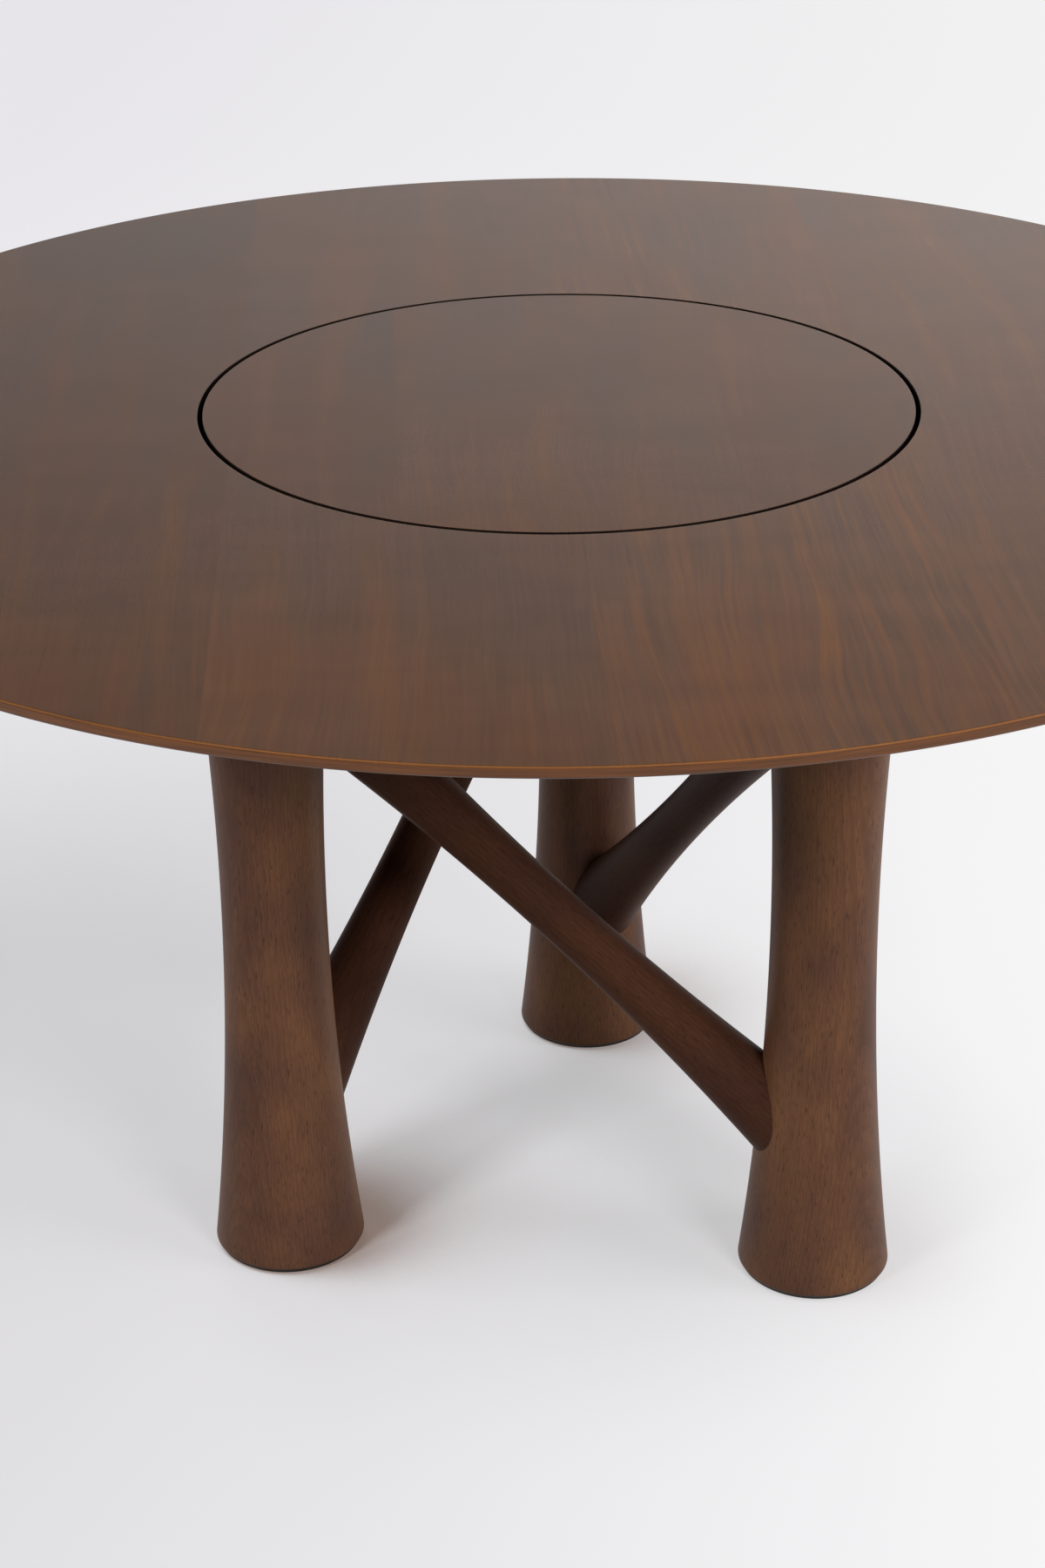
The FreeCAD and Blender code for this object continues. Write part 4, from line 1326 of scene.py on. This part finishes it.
@dataclass
class Hardware:
    """Screws, bearing, fixings and the well floor, which the table hides from most sides."""

    finishes: Finishes
    ball_count: int = 24
    ball_radius: float = 3.0 * MM
    ball_pitch: float = 175.0 * MM
    ball_height: float = 727.0 * MM
    ball_segments: int = 24
    screw_segments: int = 24
    # Rings of points along a screw, which lie on the thread's crest and root in turn
    screw_rings: int = 24
    thread_root: float = 0.78
    tip_share: float = 0.05
    # Driver cross as shares of the head's radius: its length, its width and twice its depth
    cross: Triple = (1.25, 0.28, 0.9)
    seed: int = 7

    def build(self) -> None:
        """Make the screws and balls, and give each node that keeps its own shape its finish."""
        self.build_screws()
        self.build_balls()
        looks = self.finishes
        dress = {
            "well_floor": looks.well, "turntable_core": looks.backing, "bearing_outer_ring": looks.alloy,
            "bearing_inner_ring": looks.alloy, "ball_cage": looks.cage, "brace_low_dowels": looks.dowel,
            "brace_high_dowels": looks.dowel, "leg_dowels": looks.dowel, "leg_inserts": looks.zinc,
            "leg_bolts": looks.zinc, "leg_bolt_washers": looks.zinc,
        }
        for name, material in dress.items():
            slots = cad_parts[name].data.materials
            slots.clear()
            slots.append(material)
            log.info("%s keeps its shape and gets %s", name, material.name)

    def build_screws(self) -> None:
        """Make each ring of screws."""
        tree = self.screw_tree()
        rings = (("foot_glide_screws", GLIDE_SCREWS, Body.BASE),
                 ("well_floor_screws", FLOOR_SCREWS, Body.BASE),
                 ("bearing_base_screws", BASE_RING_SCREWS, Body.BASE),
                 ("turntable_screws", TURNTABLE_SCREWS, Body.TURNTABLE))
        for node, ring, body in rings:
            sizes = {"Count": ring.count, "Circle": ring.circle, "Head At": ring.head_at, "Head": ring.head,
                     "Shank": ring.shank, "Length": ring.length, "Turn": ring.turn,
                     "Tilt": 0.0 if ring.points_up else math.pi}
            settle(grown_piece(node + "_driven", tree, sizes, self.finishes.zinc), body, Slot.FIXING, node)

    def build_balls(self) -> None:
        """Make the bearing's balls."""
        sizes = {"Count": self.ball_count, "Circle": self.ball_pitch, "Height": self.ball_height,
                 "Radius": self.ball_radius}
        piece = grown_piece("bearing_balls_polished", self.ball_tree(), sizes, self.finishes.ball)
        settle(piece, Body.BALLS, Slot.BALL, "bearing_balls")

    def ball_tree(self) -> bpy.types.NodeTree:
        """Geometry Nodes tree that sets balls out on a circle.

        Returns:
            The tree, with named inputs for the bearing's sizes.
        """
        group, given = new_group("ring_of_balls", {"Count": "Int", "Circle": "Float", "Height": "Float",
                                                   "Radius": "Float", "Material": "Material"})
        add = partial(add_node, group)
        circle = add("GeometryNodeMeshCircle", {"Vertices": given["Count"], "Radius": given["Circle"]})
        up = add(JOIN, {2: given["Height"]})
        lifted = add("GeometryNodeTransform", {"Geometry": circle, "Translation": up})
        ball = add("GeometryNodeMeshUVSphere", {"Segments": self.ball_segments, "Radius": given["Radius"],
                                                "Rings": self.ball_segments // 2})
        balls = add("GeometryNodeInstanceOnPoints", {"Points": lifted, "Instance": ball})
        end_group(group, balls, given["Material"])
        return group

    def screw_tree(self) -> bpy.types.NodeTree:
        """Geometry Nodes tree that sets countersunk screws out on a circle.

        Returns:
            The tree, with named inputs for the screw's sizes and for the circle.
        """
        group, given = new_group("ring_of_screws", {
            "Count": "Int", "Circle": "Float", "Head At": "Float", "Head": "Float", "Shank": "Float",
            "Length": "Float", "Turn": "Float", "Tilt": "Float", "Material": "Material"})
        add = partial(add_node, group)
        last = float(self.screw_rings)
        blank = add("GeometryNodeMeshCylinder", {"Vertices": self.screw_segments, "Radius": 1.0, "Depth": 1.0,
                                                 "Side Segments": self.screw_rings})
        spot = add(SPLIT, {0: add("GeometryNodeInputPosition")}).outputs
        place = add(MATH, {0: spot[2], 1: last, 2: last / 2.0}, operation="MULTIPLY_ADD")
        ring = add(MATH, {0: place}, operation="ROUND")

        # The first ring is the head's rim, the last is the tip, and the others go in and out as a thread
        is_head = add(MATH, {0: ring, 1: 0.5}, operation="LESS_THAN")
        is_tip = add(MATH, {0: ring, 1: last - 0.5}, operation="GREATER_THAN")
        crest = add(MATH, {0: ring, 1: 2.0}, operation="MODULO")
        depth = add(RANGE, {"Value": crest, "To Min": self.thread_root, "To Max": 1.0})
        thread = add(MATH, {0: depth, 1: given["Shank"]}, operation="MULTIPLY")
        flare = add(MATH, {0: given["Head"], 1: thread}, operation="SUBTRACT")
        body = add(MATH, {0: is_head, 1: flare, 2: thread}, operation="MULTIPLY_ADD")
        thin = add(RANGE, {"Value": is_tip, "To Min": 1.0, "To Max": self.tip_share})
        radius = add(MATH, {0: body, 1: thin}, operation="MULTIPLY")
        neck = add(MATH, {0: given["Head"], 1: given["Shank"]}, operation="SUBTRACT")
        point = add(MATH, {0: given["Length"], 1: given["Shank"]}, operation="SUBTRACT")
        along = add(RANGE, {"Value": ring, **span((1.0, last - 1.0)), "To Min": neck, "To Max": point})
        below_head = add(MATH, {0: 1.0, 1: is_head}, operation="SUBTRACT")
        shaft = add(MATH, {0: along, 1: below_head}, operation="MULTIPLY")
        height = add(MATH, {0: is_tip, 1: given["Shank"], 2: shaft}, operation="MULTIPLY_ADD")
        across = add(MATH, {0: spot[0], 1: radius}, operation="MULTIPLY")
        aside = add(MATH, {0: spot[1], 1: radius}, operation="MULTIPLY")
        turned = add(JOIN, {0: across, 1: aside, 2: height})
        screw = add("GeometryNodeSetPosition", {"Geometry": blank, "Position": turned})

        # The driver's cross, sunk into the head as two slots
        long, wide, deep = self.cross
        for slot_size in ((long, wide, deep), (wide, long, deep)):
            size = add(VECTOR, {0: slot_size, "Scale": given["Head"]}, operation="SCALE")
            slot_block = add("GeometryNodeMeshCube", {"Size": size})
            screw = add("GeometryNodeMeshBoolean", {"Mesh 1": screw, "Mesh 2": slot_block},
                        operation="DIFFERENCE", solver="EXACT")

        # Each screw stops at its own turn of the driver
        circle = add("GeometryNodeMeshCircle", {"Vertices": given["Count"], "Radius": given["Circle"]})
        up = add(JOIN, {2: given["Head At"]})
        round_turn = add(JOIN, {2: given["Turn"]})
        set_out = add("GeometryNodeTransform", {"Geometry": circle, "Translation": up,
                                                "Rotation": round_turn})
        twist = add("FunctionNodeRandomValue", {RANDOM_MAX: math.pi, RANDOM_SEED: self.seed},
                    data_type="FLOAT")
        stand = add(JOIN, {0: given["Tilt"], 2: twist.outputs[RANDOM_OUT]})
        screws = add("GeometryNodeInstanceOnPoints", {"Points": set_out, "Instance": screw,
                                                      "Rotation": stand})
        end_group(group, screws, given["Material"])
        return group


@dataclass(frozen=True)
class Softbox:
    """A square soft lamp, placed by its bearing from the table."""

    name: str
    bearing: float
    elevation: float
    distance: float
    side: float
    power: float

    def hang(self, aim: Vector) -> None:
        """Hang the lamp and turn it to the table.

        Args:
            aim: The point that it looks at.
        """
        lamp = bpy.data.lights.new(self.name, "AREA")
        lamp.shape = "SQUARE"
        lamp.size = self.side
        lamp.energy = self.power
        turn = math.radians(self.bearing)
        rise = math.radians(self.elevation)
        way = Vector((math.sin(turn) * math.cos(rise), -math.cos(turn) * math.cos(rise), math.sin(rise)))
        holder = bpy.data.objects.new(self.name, lamp)
        # The lacquer mirrors the pale room, and not the lamps
        holder.visible_glossy = False
        bpy.context.scene.collection.objects.link(holder)
        holder.location = aim + way * self.distance
        holder.rotation_euler = way.to_track_quat("Z", "Y").to_euler()


@dataclass
class Studio:
    """Pale floor, soft lamps, a pale room and the camera."""

    floor_radius: float = 60.0
    floor_sides: int = 96
    floor_paint: str = "#f0eff2"
    floor_bounce: str = "#6b6866"
    # Painted light: the floor pales from left to right, between these places
    floor_left: str = "#efedf1"
    floor_right: str = "#fdfdfd"
    floor_turn: Pair = (-1.4, 1.2)
    # Close to a leg the floor goes over to a painted warm shadow. It is looked for towards the front
    # left, so it lies behind a leg and to its right
    floor_shade: str = "#7d5636"
    shade_way: Triple = (-0.64, -0.34, 0.69)
    shade_reach: float = 0.3
    shade_samples: int = 16
    # How open a spot is where the shade is full and where it ends
    shade_open: Pair = (0.6, 0.88)
    # Share of the pale floor that is left in full shade, on the left and on the right of these places
    shade_left: float = 0.0
    shade_right: float = 0.85
    shade_turn: Pair = (-0.15, 0.25)
    # Share of the floor that glows in its own colour: under the table, left and right of it, and far off
    near_lift: float = 0.42
    # More of the floor glows on the right than on the left, as painted light
    left_lift: float = 0.5
    right_lift: float = 0.9
    far_lift: float = 0.92
    # Where that share goes over from left to right, from under the table outwards, and from there far off
    lift_turn: Pair = (-0.4, 0.4)
    lift_near: Pair = (0.1, 0.5)
    lift_far: Pair = (0.7, 1.7)
    # The room as the lacquer sees it, and where its walls and its ceiling go over into each other
    wall_left: str = "#b4b4b6"
    wall_right: str = "#ffffff"
    wall_turn: Pair = (-0.4, 0.25)
    ceiling: str = "#101011"
    ceiling_turn: Pair = (0.29, 0.42)
    horizon: str = "#e9e9eb"
    ambient: float = 0.02
    lamp_aim: Triple = (0.0, 0.0, 0.45)
    lamps: tuple[Softbox, ...] = (
        Softbox("key_softbox", bearing=128.0, elevation=56.0, distance=2.4, side=1.5, power=26.0),
        Softbox("side_softbox", bearing=78.0, elevation=20.0, distance=3.0, side=1.4, power=33.0),
        Softbox("front_softbox", bearing=36.0, elevation=28.0, distance=3.2, side=0.9, power=34.0),
        Softbox("left_softbox", bearing=-40.0, elevation=30.0, distance=3.0, side=0.6, power=38.0),
        Softbox("back_softbox", bearing=-158.0, elevation=28.0, distance=3.2, side=1.4, power=16.0),
    )
    # Lens and sensor in the camera's own millimetres, angles in degrees
    lens: float = 72.18
    sensor: float = 36.0
    camera_at: Triple = (0.2312, -2.4816, 1.6162)
    camera_pitch: float = 26.09
    camera_yaw: float = 6.10
    camera_roll: float = -0.693

    def build(self) -> None:
        """Make the stage."""
        self.build_floor()
        self.build_room()
        for lamp in self.lamps:
            lamp.hang(Vector(self.lamp_aim))
        self.build_camera()
        bpy.context.scene.view_settings.view_transform = "Standard"

    def build_floor(self) -> None:
        """Make the floor."""
        angles = [math.tau * step / self.floor_sides for step in range(self.floor_sides)]
        rim = [(self.floor_radius * math.cos(angle), self.floor_radius * math.sin(angle), 0.0)
               for angle in angles]
        mesh = bpy.data.meshes.new("studio_floor")
        mesh.from_pydata(rim, [], [tuple(range(self.floor_sides))])
        mesh.materials.append(self.floor_material())
        floor = bpy.data.objects.new("studio_floor", mesh)
        bpy.context.scene.collection.objects.link(floor)

    def floor_material(self) -> bpy.types.Material:
        """Paint for the floor, which looks pale to the eye but keeps the table's shadow.

        It has painted light that pales it to the right, and a painted shadow beside each leg.

        Returns:
            The finished material.
        """
        material, tree = new_material("painted_studio_floor")
        add = partial(add_node, tree)
        seen = self.seen_by_eye(tree)
        tint = add(MIX, {0: seen, MIX_A: linear(self.floor_bounce), MIX_B: linear(self.floor_paint)},
                   data_type="RGBA")
        paint = add("ShaderNodeBsdfDiffuse", {"Color": tint.outputs[MIX_OUT]})
        # Painted light: the pale colour grows lighter to the right
        place = add(PLACE).outputs["Object"]
        side = add(SPLIT, {0: place}).outputs[0]
        right = add(RANGE, {"Value": side, **span(self.floor_turn)})
        pale = add(MIX, {0: right, MIX_A: linear(self.floor_left), MIX_B: linear(self.floor_right)},
                   data_type="RGBA")

        # The painted warm shadow beside a leg
        towards = add(JOIN, dict(enumerate(self.shade_way)))
        close = add("ShaderNodeAmbientOcclusion", {"Distance": self.shade_reach, "Normal": towards},
                    samples=self.shade_samples)
        least = add(RANGE, {"Value": side, **span(self.shade_turn), "To Min": self.shade_left,
                            "To Max": self.shade_right})
        clear = add(RANGE, {"Value": close.outputs["AO"], **span(self.shade_open), "To Min": least},
                    interpolation_type="SMOOTHSTEP")
        shaded = add(MIX, {0: clear, MIX_A: linear(self.floor_shade), MIX_B: pale.outputs[MIX_OUT]},
                     data_type="RGBA")
        glow = add("ShaderNodeEmission", {"Color": shaded.outputs[MIX_OUT], "Strength": 1.0})

        # How much of it glows: more on the right, as painted light
        away = add(VECTOR, {0: place}, operation="LENGTH").outputs["Value"]
        side_lift = add(RANGE, {"Value": side, **span(self.lift_turn), "To Min": self.left_lift,
                                "To Max": self.right_lift})
        close_lift = add(RANGE, {"Value": away, **span(self.lift_near), "To Min": self.near_lift,
                                 "To Max": side_lift}, interpolation_type="SMOOTHSTEP")
        lift = add(RANGE, {"Value": away, **span(self.lift_far), "To Min": close_lift,
                           "To Max": self.far_lift}, interpolation_type="SMOOTHSTEP")
        share = add(MATH, {0: seen, 1: lift}, operation="MULTIPLY")
        both = add("ShaderNodeMixShader", {0: share, 1: paint, 2: glow})
        add("ShaderNodeOutputMaterial", {"Surface": both})
        return material

    def seen_by_eye(self, tree: bpy.types.NodeTree) -> bpy.types.Node:
        """Add the test for rays that come from the camera, a reflection or a clear material.

        Args:
            tree: The tree that needs the test.

        Returns:
            A node whose value is one for such rays.
        """
        add = partial(add_node, tree)
        path = add("ShaderNodeLightPath").outputs
        mirrored = add(MATH, {0: path["Is Camera Ray"], 1: path["Is Glossy Ray"]}, operation="MAXIMUM")
        return add(MATH, {0: mirrored, 1: path["Is Transmission Ray"]}, operation="MAXIMUM")

    def build_room(self) -> None:
        """Make the pale room, which lights the table less than it shows."""
        world = bpy.data.worlds.new("pale_room")
        world.use_nodes = True
        tree = world.node_tree
        tree.nodes.clear()
        add = partial(add_node, tree)
        strength = add(RANGE, {"Value": self.seen_by_eye(tree), "To Min": self.ambient, "To Max": 1.0})
        axes = add(SPLIT, {0: add(PLACE).outputs["Generated"]}).outputs
        side = add(RANGE, {"Value": axes[0], **span(self.wall_turn)}, interpolation_type="SMOOTHSTEP")
        wall = add(MIX, {0: side, MIX_A: linear(self.wall_left), MIX_B: linear(self.wall_right)},
                   data_type="RGBA")
        height = add(RANGE, {"Value": axes[2], **span(self.ceiling_turn)}, interpolation_type="SMOOTHSTEP")
        shade = add(MIX, {0: height, MIX_A: wall.outputs[MIX_OUT], MIX_B: linear(self.ceiling)},
                    data_type="RGBA")
        by_camera = add("ShaderNodeLightPath").outputs["Is Camera Ray"]
        shown = add(MIX, {0: by_camera, MIX_A: shade.outputs[MIX_OUT], MIX_B: linear(self.horizon)},
                    data_type="RGBA")
        room = add("ShaderNodeBackground", {"Color": shown.outputs[MIX_OUT], "Strength": strength})
        add("ShaderNodeOutputWorld", {"Surface": room})
        bpy.context.scene.world = world

    def build_camera(self) -> None:
        """Set the camera where the photograph was taken from."""
        lens = bpy.data.cameras.new("portrait_camera")
        lens.sensor_fit = "AUTO"
        lens.sensor_width = self.sensor
        lens.lens = self.lens
        camera = bpy.data.objects.new("portrait_camera", lens)
        bpy.context.scene.collection.objects.link(camera)
        turn = Matrix.Rotation(math.radians(self.camera_yaw), 4, "Z")
        tilt = Matrix.Rotation(math.radians(90.0 - self.camera_pitch), 4, "X")
        roll = Matrix.Rotation(math.radians(self.camera_roll), 4, "Z")
        camera.matrix_world = Matrix.Translation(self.camera_at) @ turn @ tilt @ roll
        bpy.context.scene.camera = camera


def main() -> None:
    """Build the table and the studio."""
    logging.basicConfig(level=logging.INFO, format="%(name)s: %(message)s")
    finishes = Finishes()
    legs = Legs(finishes)
    assemblies = (TableTop(finishes), Turntable(finishes), legs, Braces(finishes, legs), Hardware(finishes),
                  Studio())
    for assembly in assemblies:
        assembly.build()
        log.info("%s built", type(assembly).__name__)


if __name__ == "__main__":
    main()
